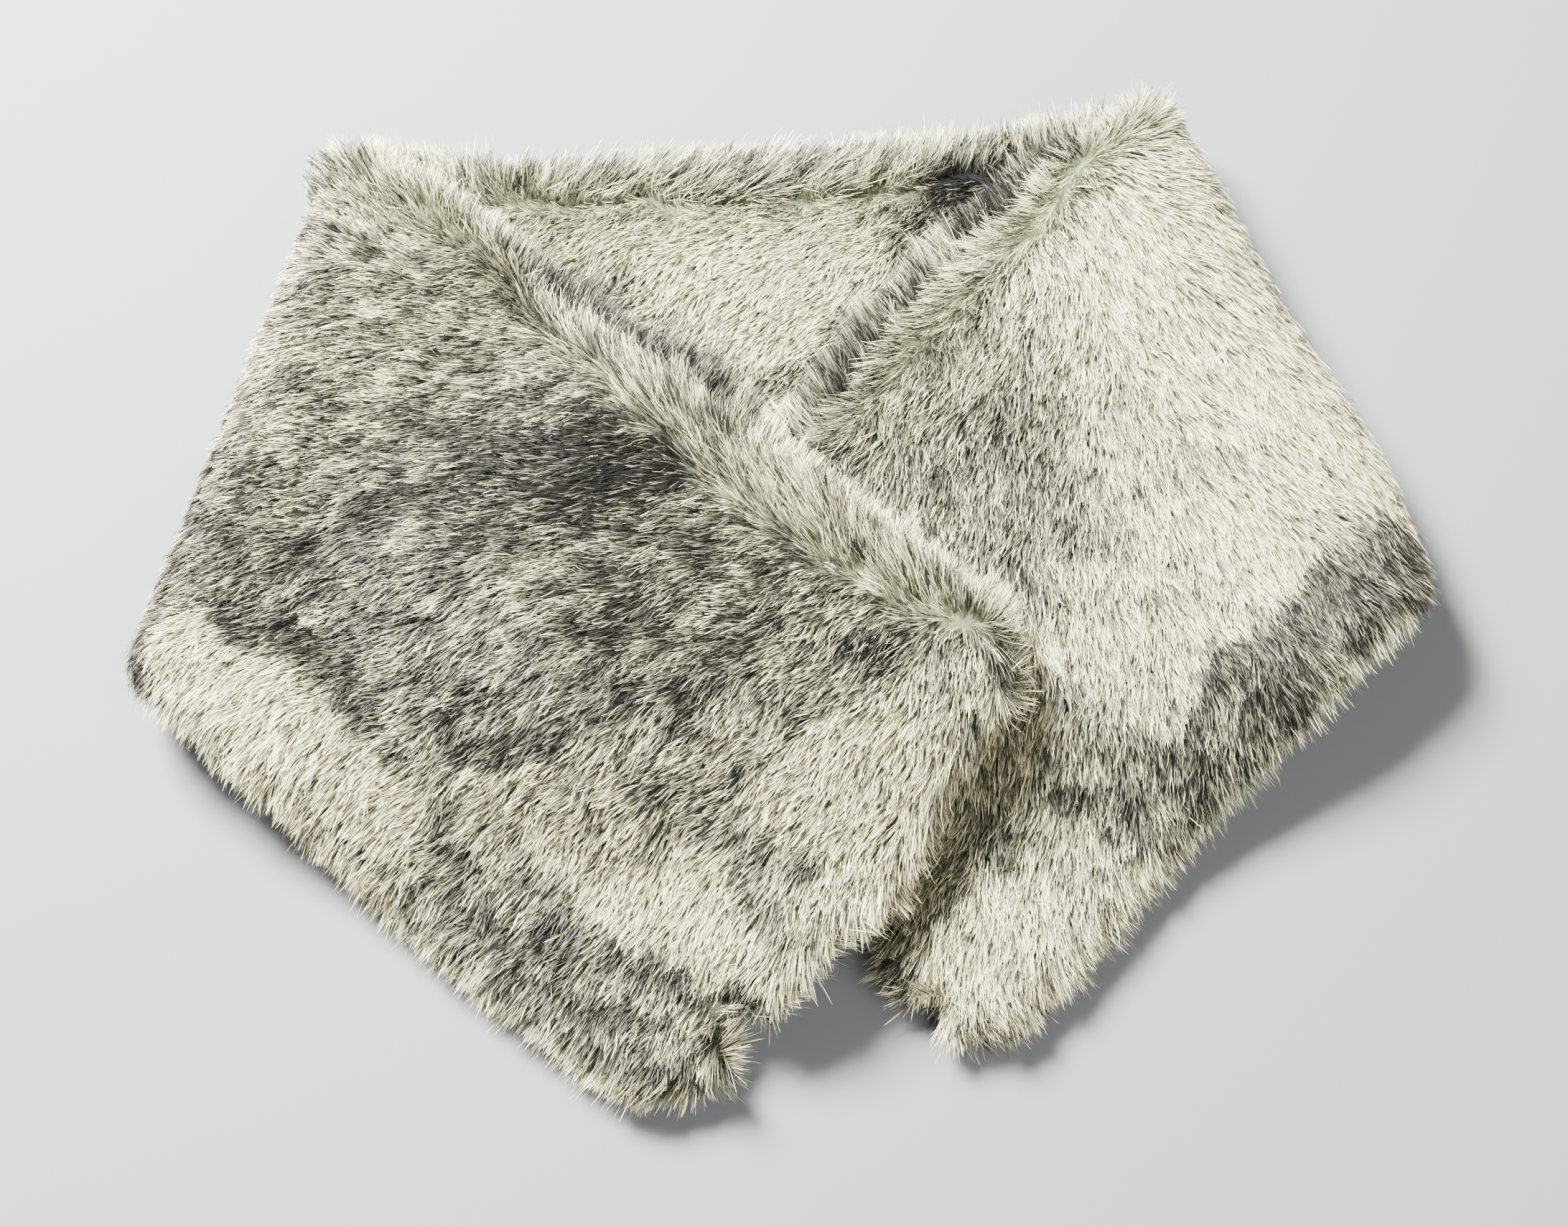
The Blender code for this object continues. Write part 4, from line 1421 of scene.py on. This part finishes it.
    def blades(
        self, hair: dict[str, Numbers], chosen: Numbers, name: str, material: bpy.types.Material
    ) -> bpy.types.Object:
        """Joins some of the hairs as one mesh of bent blades, two triangles each.

        Args:
            hair: All the hairs of the coat.
            chosen: The indices of those in this piece.
            name: The piece's name.
            material: The hair's material.

        Returns:
            The piece.
        """
        rng = np.random.default_rng(self.seed + 2 + int(chosen[0]))
        root, knee, tip = (hair[part][chosen] for part in ("root", "knee", "tip"))
        count = len(root)
        run = normalised(tip - root)
        flat = normalised(np.cross(run, hair["normal"][chosen]))
        roll = np.radians(rng.normal(0, self.growth.roll_deg, count))
        wide = swung(flat, normalised(np.cross(flat, run)), roll) * hair["thick"][chosen][:, None]
        corners = np.stack((root, knee + wide, knee - wide, tip), axis=1).reshape(-1, 3)
        corners[:, 2] = np.maximum(corners[:, 2], LOWEST)
        base = np.arange(count)[:, None] * 4
        faces = np.concatenate((base + (0, 1, 2), base + (1, 3, 2)), axis=1).reshape(-1, 3)
        mesh = bpy.data.meshes.new(name)
        mesh.vertices.add(len(corners))
        mesh.vertices.foreach_set("co", corners.ravel())
        mesh.loops.add(faces.size)
        mesh.loops.foreach_set("vertex_index", faces.ravel())
        mesh.polygons.add(len(faces))
        mesh.polygons.foreach_set("loop_start", np.arange(0, faces.size, 3))
        mesh.update(calc_edges=True)
        mesh.uv_layers.new(name=HAIR_MAP).uv.foreach_set("vector", self.mapped(hair, chosen)[faces].ravel())
        mesh.shade_smooth()
        mesh.materials.append(material)
        made = bpy.data.objects.new(name, mesh)
        bpy.context.scene.collection.objects.link(made)
        return made

    def mapped(self, hair: dict[str, Numbers], chosen: Numbers) -> Numbers:
        """The map of the blades' corners: U is the tone, V the place along the hair.

        Args:
            hair: All the hairs of the coat.
            chosen: The indices of those in this piece.

        Returns:
            Four places on the map for each hair.
        """
        tone, bare = 0.01 + 0.98 * hair["tone"][chosen], hair["bare"][chosen]
        u = np.stack((tone, tone + SLIVER, tone - SLIVER, tone), axis=1)
        knee = hair["bend_at"][chosen] - KNEE_LOSS * bare
        v = np.stack((np.full(len(tone), 1 - HAIR_TOP), knee, knee, HAIR_TOP - TIP_LOSS * bare), axis=1)
        return np.stack((np.clip(u, 0.001, 0.999), v), axis=-1).reshape(-1, 2)

    def build(
        self, shell: Course, open_share: Numbers, material: bpy.types.Material
    ) -> list[bpy.types.Object]:
        """Grows the coat and joins it in as few pieces as its size allows.

        Args:
            shell: The grid over the layer's own shell.
            open_share: The openness of each corner.
            material: The hair's material.

        Returns:
            The pieces.
        """
        hair = self.grow(shell, open_share)
        order = np.argsort(hair["course"], kind="stable")
        pieces = math.ceil(len(order) / self.most_hairs)
        made = []
        for index, chosen in enumerate(np.array_split(order, pieces)):
            piece = self.blades(hair, chosen, f"{self.name}_pile_{index + 1}", material)
            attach(piece, "root")
            LOG.info("%s: %d hairs", piece.name, len(chosen))
            made.append(piece)
        return made


def linear(red: float, green: float, blue: float) -> tuple[float, float, float, float]:
    """A colour as it is seen on a screen, as the shader's own linear colour."""
    shades = ((c / 12.92 if c <= 0.04045 else ((c + 0.055) / 1.055) ** 2.4) for c in (red, green, blue))
    return (*shades, 1.0)


def wire(tree: bpy.types.NodeTree, node: bpy.types.Node, inputs: dict[str, object]) -> bpy.types.Node:
    """Sets inputs of a node, each to a constant or to the output of another node.

    Args:
        tree: The node tree.
        node: One of its nodes.
        inputs: Constants or sockets, by the names of the inputs.

    Returns:
        The same node.
    """
    for name, value in inputs.items():
        if isinstance(value, bpy.types.NodeSocket):
            tree.links.new(value, node.inputs[name])
        else:
            node.inputs[name].default_value = value
    return node


def add_node(
    tree: bpy.types.NodeTree, kind: str, inputs: dict[str, object], **settings: object
) -> bpy.types.Node:
    """Adds a node with some settings, and wires its inputs.

    Args:
        tree: The node tree.
        kind: The node's type, without its first word.
        inputs: Constants or sockets, by the names of the inputs.
        settings: The node's own settings, by name.

    Returns:
        The node.
    """
    node = tree.nodes.new(f"ShaderNode{kind}")
    for name, value in settings.items():
        setattr(node, name, value)
    return wire(tree, node, inputs)


def new_material(name: str) -> tuple[bpy.types.Material, bpy.types.NodeTree, bpy.types.Node]:
    """A new material, its node tree and its shader.

    Args:
        name: The material's name.

    Returns:
        The three of them.
    """
    material = bpy.data.materials.new(name)
    material.use_nodes = True
    return material, material.node_tree, material.node_tree.nodes["Principled BSDF"]


@dataclass(frozen=True)
class Shades:
    """The colours along the tones, from the palest cream to black."""

    palest: Colour
    cream: Colour
    pale: Colour
    grey: Colour
    black: Colour

    def ramp(self, tree: bpy.types.NodeTree, tone: bpy.types.NodeSocket) -> bpy.types.NodeSocket:
        """A ramp over a tone socket, and the colour that it gives.

        Args:
            tree: The node tree.
            tone: The socket.

        Returns:
            The socket of the colour.
        """
        node = add_node(tree, "ValToRGB", {"Fac": tone})
        stops = node.color_ramp.elements
        stops[0].position, stops[0].color = 0.0, linear(*self.palest)
        stops[1].position, stops[1].color = 1.0, linear(*self.black)
        for place, shade in ((0.12, self.cream), (0.34, self.pale), (0.66, self.grey)):
            stops.new(place).color = linear(*shade)
        return node.outputs["Color"]


def hair_colour_and_painted_shade_group() -> bpy.types.NodeTree:
    """The node group that mixes the root, middle and tip colours along a hair; the darker root and middle
    colours are partly the hair's real darker roots and partly painted shade deep in the pile.

    Returns:
        The group.
    """
    group = bpy.data.node_groups.new("along the hair", "ShaderNodeTree")
    for name, kind in (("Along", "Float"), ("Root", "Color"), ("Middle", "Color"), ("Tip", "Color")):
        group.interface.new_socket(name, in_out="INPUT", socket_type=f"NodeSocket{kind}")
    group.interface.new_socket("Color", in_out="OUTPUT", socket_type="NodeSocketColor")
    start, end = group.nodes.new("NodeGroupInput"), group.nodes.new("NodeGroupOutput")
    colour = start.outputs["Root"]
    for name, low, high in (("Middle", 0.10, 0.45), ("Tip", 0.60, 0.92)):
        limits = {"From Min": low, "From Max": high, "Value": start.outputs["Along"]}
        share = add_node(group, "MapRange", limits, interpolation_type="SMOOTHSTEP")
        parts = {"Factor": share.outputs["Result"], "A": colour, "B": start.outputs[name]}
        colour = add_node(group, "Mix", parts, data_type="RGBA").outputs["Result"]
    wire(group, end, {"Color": colour})
    return group


@dataclass(frozen=True)
class FurFinish:
    """The colours and sheen of the hair, at its root, middle and tip, darker towards the root partly as
    painted shade.
    """

    name: str
    root: Shades
    middle: Shades
    tip: Shades
    roughness: float = 0.42
    sheen: float = 0.02

    def material(self) -> bpy.types.Material:
        """The material, which reads the tone and the place along the hair from the hair's own map.

        Returns:
            The material.
        """
        material, tree, shader = new_material(self.name)
        look_up = add_node(tree, "UVMap", {}, uv_map=HAIR_MAP)
        split = add_node(tree, "SeparateXYZ", {"Vector": look_up.outputs["UV"]})
        colours = {
            name: shades.ramp(tree, split.outputs["X"])
            for name, shades in (("Root", self.root), ("Middle", self.middle), ("Tip", self.tip))
        }
        along = tree.nodes.new("ShaderNodeGroup")
        along.node_tree = hair_colour_and_painted_shade_group()
        wire(tree, along, {"Along": split.outputs["Y"], **colours})
        wire(tree, shader, {
            "Roughness": self.roughness,
            "Specular IOR Level": 0.12,
            "Specular Tint": (1.0, 0.95, 0.86, 1.0),
            "Sheen Weight": self.sheen,
            "Sheen Roughness": 0.5,
            "Base Color": along.outputs["Color"],
        })
        return material


# Root and middle shades darker than the tips: partly the hair's real olive roots, partly painted shade deep
# in the pile between the locks.
FUR = FurFinish(
    "fur",
    root=Shades(
        palest=(0.30, 0.32, 0.23),
        cream=(0.22, 0.24, 0.17),
        pale=(0.11, 0.12, 0.08),
        grey=(0.05, 0.05, 0.04),
        black=(0.02, 0.02, 0.02),
    ),
    middle=Shades(
        palest=(0.60, 0.58, 0.46),
        cream=(0.36, 0.36, 0.28),
        pale=(0.28, 0.28, 0.23),
        grey=(0.09, 0.09, 0.08),
        black=(0.03, 0.03, 0.03),
    ),
    tip=Shades(
        palest=(1.00, 0.975, 0.77),
        cream=(0.80, 0.775, 0.62),
        pale=(0.56, 0.55, 0.46),
        grey=(0.17, 0.165, 0.15),
        black=(0.035, 0.035, 0.034),
    ),
)


@dataclass(frozen=True)
class ShadedUndercoatFinish:
    """The dense short pile under the long hair: olive grey, darker where the coat is dark, and its colours
    also kept dark as painted shade in the gaps between the locks.
    """

    name: str
    # Pale and dark: the undercoat's own olive grey, darkened as painted shade in the gaps between the
    # locks.
    pale: Colour = (0.32, 0.33, 0.25)
    dark: Colour = (0.05, 0.05, 0.06)

    def material(self) -> bpy.types.Material:
        """The material, which reads the cloth's own tone and adds the grain of the pile.

        Returns:
            The material.
        """
        material, tree, shader = new_material(self.name)
        tone = add_node(tree, "Attribute", {}, attribute_name="tone").outputs["Fac"]
        place = add_node(tree, "TexCoord", {}).outputs["Object"]
        grain = add_node(tree, "TexNoise", {"Scale": 900.0, "Detail": 3.0, "Vector": place})
        grain = grain.outputs["Fac"]
        ends = {"A": linear(*self.pale), "B": linear(*self.dark), "Factor": tone}
        colour = add_node(tree, "Mix", ends, data_type="RGBA").outputs["Result"]
        speckle = add_node(tree, "MapRange", {"To Min": 0.55, "To Max": 1.25, "Value": grain})
        parts = {"Factor": 1.0, "A": colour, "B": speckle.outputs["Result"]}
        shade = add_node(tree, "Mix", parts, data_type="RGBA", blend_type="MULTIPLY")
        bump = add_node(tree, "Bump", {"Strength": 0.6, "Distance": 0.0006, "Height": grain})
        wire(tree, shader, {
            "Roughness": 0.95,
            "Specular IOR Level": 0.1,
            "Base Color": shade.outputs["Result"],
            "Normal": bump.outputs["Normal"],
        })
        return material


@dataclass
class Cloth:
    """One whole strip of fur cloth, as a thin closed shell from its left end to its right one."""

    name: str
    layer: Layer
    patterns: tuple[tuple[float, Pattern], ...]
    steps: int = 28
    across: int = 40

    @property
    def slot(self) -> str:
        """A slot name, from the face of the cloth's layer."""
        return f"{self.layer.face.value}_fur"

    @property
    def nodes(self) -> tuple[str, ...]:
        """The five solids that the cloth stands for."""
        return tuple(f"{self.layer.face.value}_{stretch.name.lower()}" for stretch in Stretch)

    def build(self) -> bpy.types.Object:
        """Makes the shell with its tone, and hides its five solids.

        Returns:
            The shell.
        """
        along = np.linspace(0, STRIP_END, STRIP_END * self.steps + 1)
        width = np.linspace(-1, 1, self.across + 1)
        course, place = (part.ravel() for part in np.meshgrid(along, width, indexing="ij"))
        fur, seam = (self.layer.points(course, place, rise) for rise in (1.0, 0.0))
        rows, columns = len(along), len(width)
        index = np.arange(rows * columns).reshape(rows, columns)
        quads = np.stack((index[:-1, :-1], index[1:, :-1], index[1:, 1:], index[:-1, 1:]), axis=-1)
        quads = quads.reshape(-1, 4)
        rim = np.concatenate((index[:-1, 0], index[-1, :-1], index[:0:-1, -1], index[0, :0:-1]))
        next_rim = np.roll(rim, -1)
        count = rows * columns
        walls = np.stack((rim, rim + count, next_rim + count, next_rim), axis=-1)
        faces = np.concatenate((quads, quads[:, ::-1] + count, walls))
        mesh = bpy.data.meshes.new(self.name)
        mesh.from_pydata(np.concatenate((fur, seam)).tolist(), [], faces.tolist())
        mesh.validate()
        made = bpy.data.objects.new(self.name, mesh)
        bpy.context.scene.collection.objects.link(made)
        tone = mesh.attributes.new("tone", "FLOAT", "POINT")
        shade = np.zeros(count)
        for low, pattern in self.patterns:
            here = course >= low
            shade[here] = pattern.tone(fur[here, 0], fur[here, 1])
        tone.data.foreach_set("value", np.tile(np.clip(shade, 0, 1), 2).astype(np.float32))
        self.face_outwards(made)
        mesh.shade_smooth()
        mesh.materials.append(ShadedUndercoatFinish(f"{self.name}_undercoat").material())
        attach(made, "root")
        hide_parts(*self.nodes)
        return made

    def face_outwards(self, piece: bpy.types.Object) -> None:
        """Turns the shell's faces outwards, by hand in edit mode.

        Args:
            piece: The shell.
        """
        bpy.ops.object.select_all(action="DESELECT")
        bpy.context.view_layer.objects.active = piece
        piece.select_set(True)
        bpy.ops.object.mode_set(mode="EDIT")
        bpy.ops.mesh.select_all(action="SELECT")
        bpy.ops.mesh.normals_make_consistent(inside=False)
        bpy.ops.object.mode_set(mode="OBJECT")


class Lamp(NamedTuple):
    """A soft light, in metres and watts."""

    name: str
    place: tuple[float, float, float]
    size: float
    power: float
    colour: Colour


LAMPS = (
    Lamp("key", (-0.75, 0.85, 1.15), 0.50, 670.0, (1.0, 0.98, 0.93)),
    Lamp("fill", (0.9, -0.9, 1.3), 1.4, 62.0, (1.0, 0.99, 0.97)),
)


@dataclass(frozen=True)
class Studio:
    """A pale floor, soft lights and the camera."""

    camera_distance: float = 0.952
    camera_elevation_deg: float = 70.0
    field_of_view_deg: float = 35.0
    aim: tuple[float, float, float] = (0.0006, -0.0093, 0.0)
    floor_colour: Colour = (0.34, 0.345, 0.355)
    sky: Colour = (0.96, 0.95, 0.92)
    sky_strength: float = 0.42

    def floor(self) -> None:
        """A pale plain floor."""
        bpy.ops.object.select_all(action="DESELECT")
        bpy.ops.mesh.primitive_plane_add(size=6, location=(0, 0, 0))
        floor = bpy.context.active_object
        floor.name = "floor"
        material, tree, shader = new_material("pale_floor")
        wire(tree, shader, {"Base Color": linear(*self.floor_colour), "Roughness": 0.85})
        floor.data.materials.append(material)

    def light(self, lamp: Lamp) -> None:
        """A soft square light that points at the wrap.

        Args:
            lamp: What the light is like.
        """
        data = bpy.data.lights.new(lamp.name, "AREA")
        data.shape, data.size, data.energy, data.color = "SQUARE", lamp.size, lamp.power, lamp.colour
        holder = bpy.data.objects.new(lamp.name, data)
        holder.location = lamp.place
        holder.rotation_euler = (-Vector(lamp.place)).to_track_quat("-Z", "Y").to_euler()
        bpy.context.scene.collection.objects.link(holder)

    def camera(self) -> None:
        """The camera at the photograph's viewing angle."""
        data = bpy.data.cameras.new("camera")
        data.sensor_width = 36.0
        data.lens = data.sensor_width / 2 / math.tan(math.radians(self.field_of_view_deg / 2))
        data.clip_start, data.clip_end = 0.05, 20.0
        camera = bpy.data.objects.new("camera", data)
        rise = math.radians(self.camera_elevation_deg)
        back = Vector((0.0, -math.cos(rise), math.sin(rise)))
        camera.location = Vector(self.aim) + back * self.camera_distance
        camera.rotation_euler = (math.pi / 2 - rise, 0.0, 0.0)
        bpy.context.scene.collection.objects.link(camera)
        bpy.context.scene.camera = camera

    def build(self) -> None:
        """Sets up the whole studio."""
        self.floor()
        for lamp in LAMPS:
            self.light(lamp)
        world = bpy.data.worlds.new("studio")
        world.use_nodes = True
        tree = world.node_tree
        wire(tree, tree.nodes["Background"], {"Color": (*self.sky, 1), "Strength": self.sky_strength})
        bpy.context.scene.world = world
        self.camera()


LEFT_PATTERN = Pattern("left", 0.60, 200.0, 1.1, 11)
RIGHT_PATTERN = Pattern("right", 0.05, 285.0, 0.6, 31)
BACK_PATTERN = Pattern("back", 0.12, 232.0, 0.8, 51)
LEFT_UNDER_PATTERN = Pattern("left under", 0.14, 130.0, 0.7, 71)
RIGHT_UNDER_PATTERN = Pattern("right under", 0.16, 75.0, 0.7, 91)
BASE_PATTERN = Pattern("base", 0.30, 90.0, 0.8, 111)

SHELLS = {
    face: Layer(face, inset_share=1.0, end_inset=0.0085, backing=0.0012, pile=0.0056, rounding=0.008)
    for face in Face
}
CLOTHS = (
    Cloth("outer_cloth", SHELLS[Face.OUTER], ((0, LEFT_PATTERN), (2, BASE_PATTERN), (3, RIGHT_PATTERN))),
    Cloth("inner_cloth", SHELLS[Face.INNER],
          ((0, LEFT_UNDER_PATTERN), (1, BACK_PATTERN), (4, RIGHT_UNDER_PATTERN))),
)

LEFT_GROWTH = Growth(length=0.0078, lock_step=0.0010)
RIGHT_GROWTH = Growth(length=0.0096, lift_deg=23.0, lock_step=0.0010)
BACK_GROWTH = Growth(length=0.0076, lock_step=0.0009, ridge_bare=0.75)
UNDER_GROWTH = Growth(lift_deg=20.0, tip_lift_deg=5.0, edge_lift_deg=12.0)
BAND_GROWTH = Growth(length=0.0150, lift_deg=24.0, tip_lift_deg=8.0, edge_lift_deg=14.0)
RIM_GROWTH = Growth(length=0.0125, edge_length=0.0130, lift_deg=4.0, edge_lift_deg=2.0,
                    lift_spread_deg=26.0, lowest_lift_deg=-60.0)

LOCK_SWAY, HAIR_SWAY, GUARD_SWAY = Sway(0.09, 0.10), Sway(0.06, 0.08), Sway(-0.08, -0.08)
WOOL_TONE, RIDGE_SWAY, PALE_IN_DARK = 0.02, 0.19, 0.3
# Darker locks and hairs, and hairs with root colour further up, by chance: partly the fur's own mixed
# tones, partly painted shade in the gaps between the locks.
DARK_LOCKS, DARK_HAIRS = Tail(0.9, 1.2, 0.38), Tail(0.8, 1.0, 0.75)
PALE_LOCKS, PALE_HAIRS = Tail(0.2, 1.5), Tail(0.6, 1.5)
BARE_AND_SHADED_LOCKS, BARE_AND_SHADED_HAIRS = Tail(0.2, 2.0, 0.42), Tail(0.2, 2.0, 0.55)


def edging(name: str, low: float, high: float, growth: Growth, seed: int, **rest: float) -> Coat:
    """A fringe on the seam plane, along an edge or an end of one side's front.

    Args:
        name: The coat's name, which begins with its side.
        low: Where it begins along the strip.
        high: Where it ends.
        growth: How its hair grows.
        seed: Which of the chances it takes.
        rest: Other fields of the coat.

    Returns:
        The coat.
    """
    pattern = LEFT_UNDER_PATTERN if name.startswith("left") else RIGHT_UNDER_PATTERN
    return Coat(name, Face.INNER, low, high, pattern, growth, seed, True, True, **rest)


COATS = (
    Coat("left_front", Face.OUTER, 0, 2, LEFT_PATTERN, LEFT_GROWTH, 100),
    Coat("right_front", Face.OUTER, 3, 5, RIGHT_PATTERN, RIGHT_GROWTH, 200),
    Coat("back_lining", Face.INNER, 1, 4, BACK_PATTERN, BACK_GROWTH, 300),
    Coat("left_lining", Face.INNER, 0, 1, LEFT_UNDER_PATTERN, UNDER_GROWTH, 400, True, density=0.5),
    Coat("right_lining", Face.INNER, 4, 5, RIGHT_UNDER_PATTERN, UNDER_GROWTH, 500, True, density=0.6),
    Coat("back_outside", Face.OUTER, 2, 3, BASE_PATTERN, UNDER_GROWTH, 600, True, density=0.5),
    edging("left_band", 0.36, 0.80, BAND_GROWTH, 700, low_width=0.84),
    edging("right_band", 4.10, 4.72, BAND_GROWTH, 800, low_width=0.70),
    edging("left_rim", 0.80, 2, RIM_GROWTH, 900, low_width=0.93, density=2),
    edging("right_rim", 3, 4.10, RIM_GROWTH, 950, low_width=0.93, density=2),
    edging("left_lip", 0, 0.36, RIM_GROWTH, 970, low_width=0.93, density=1.5),
    edging("right_lip", 4.72, 5, RIM_GROWTH, 975, low_width=0.93, density=1.5),
    edging("left_hem", 0, 2, RIM_GROWTH, 980, high_width=-0.93),
    edging("right_hem", 3, 5, RIM_GROWTH, 985, high_width=-0.93),
    edging("left_end", 0, 0.03, RIM_GROWTH, 990),
    edging("right_end", 4.97, 5, RIM_GROWTH, 995),
)


def main() -> None:
    """Builds the cloth, the pile and the studio, and logs each face's openness and each piece of pile."""
    tree = solids_tree()
    made, shells, skies = {}, {}, {}
    for cloth in CLOTHS:
        face = cloth.layer.face
        made[face] = cloth.build()
        shells[face] = Course(cloth.layer, nudge=0.03)
        skies[face] = openness(Course(solid_layer(face)), tree)
        LOG.info("%s: openness from %.2f to %.2f", face.value, skies[face].min(), skies[face].max())
    fur = FUR.material()
    piles = {face: [] for face in Face}
    for coat in COATS:
        piles[coat.face] += coat.build(shells[coat.face], skies[coat.face], fur)
    Studio().build()


if __name__ == "__main__":
    main()
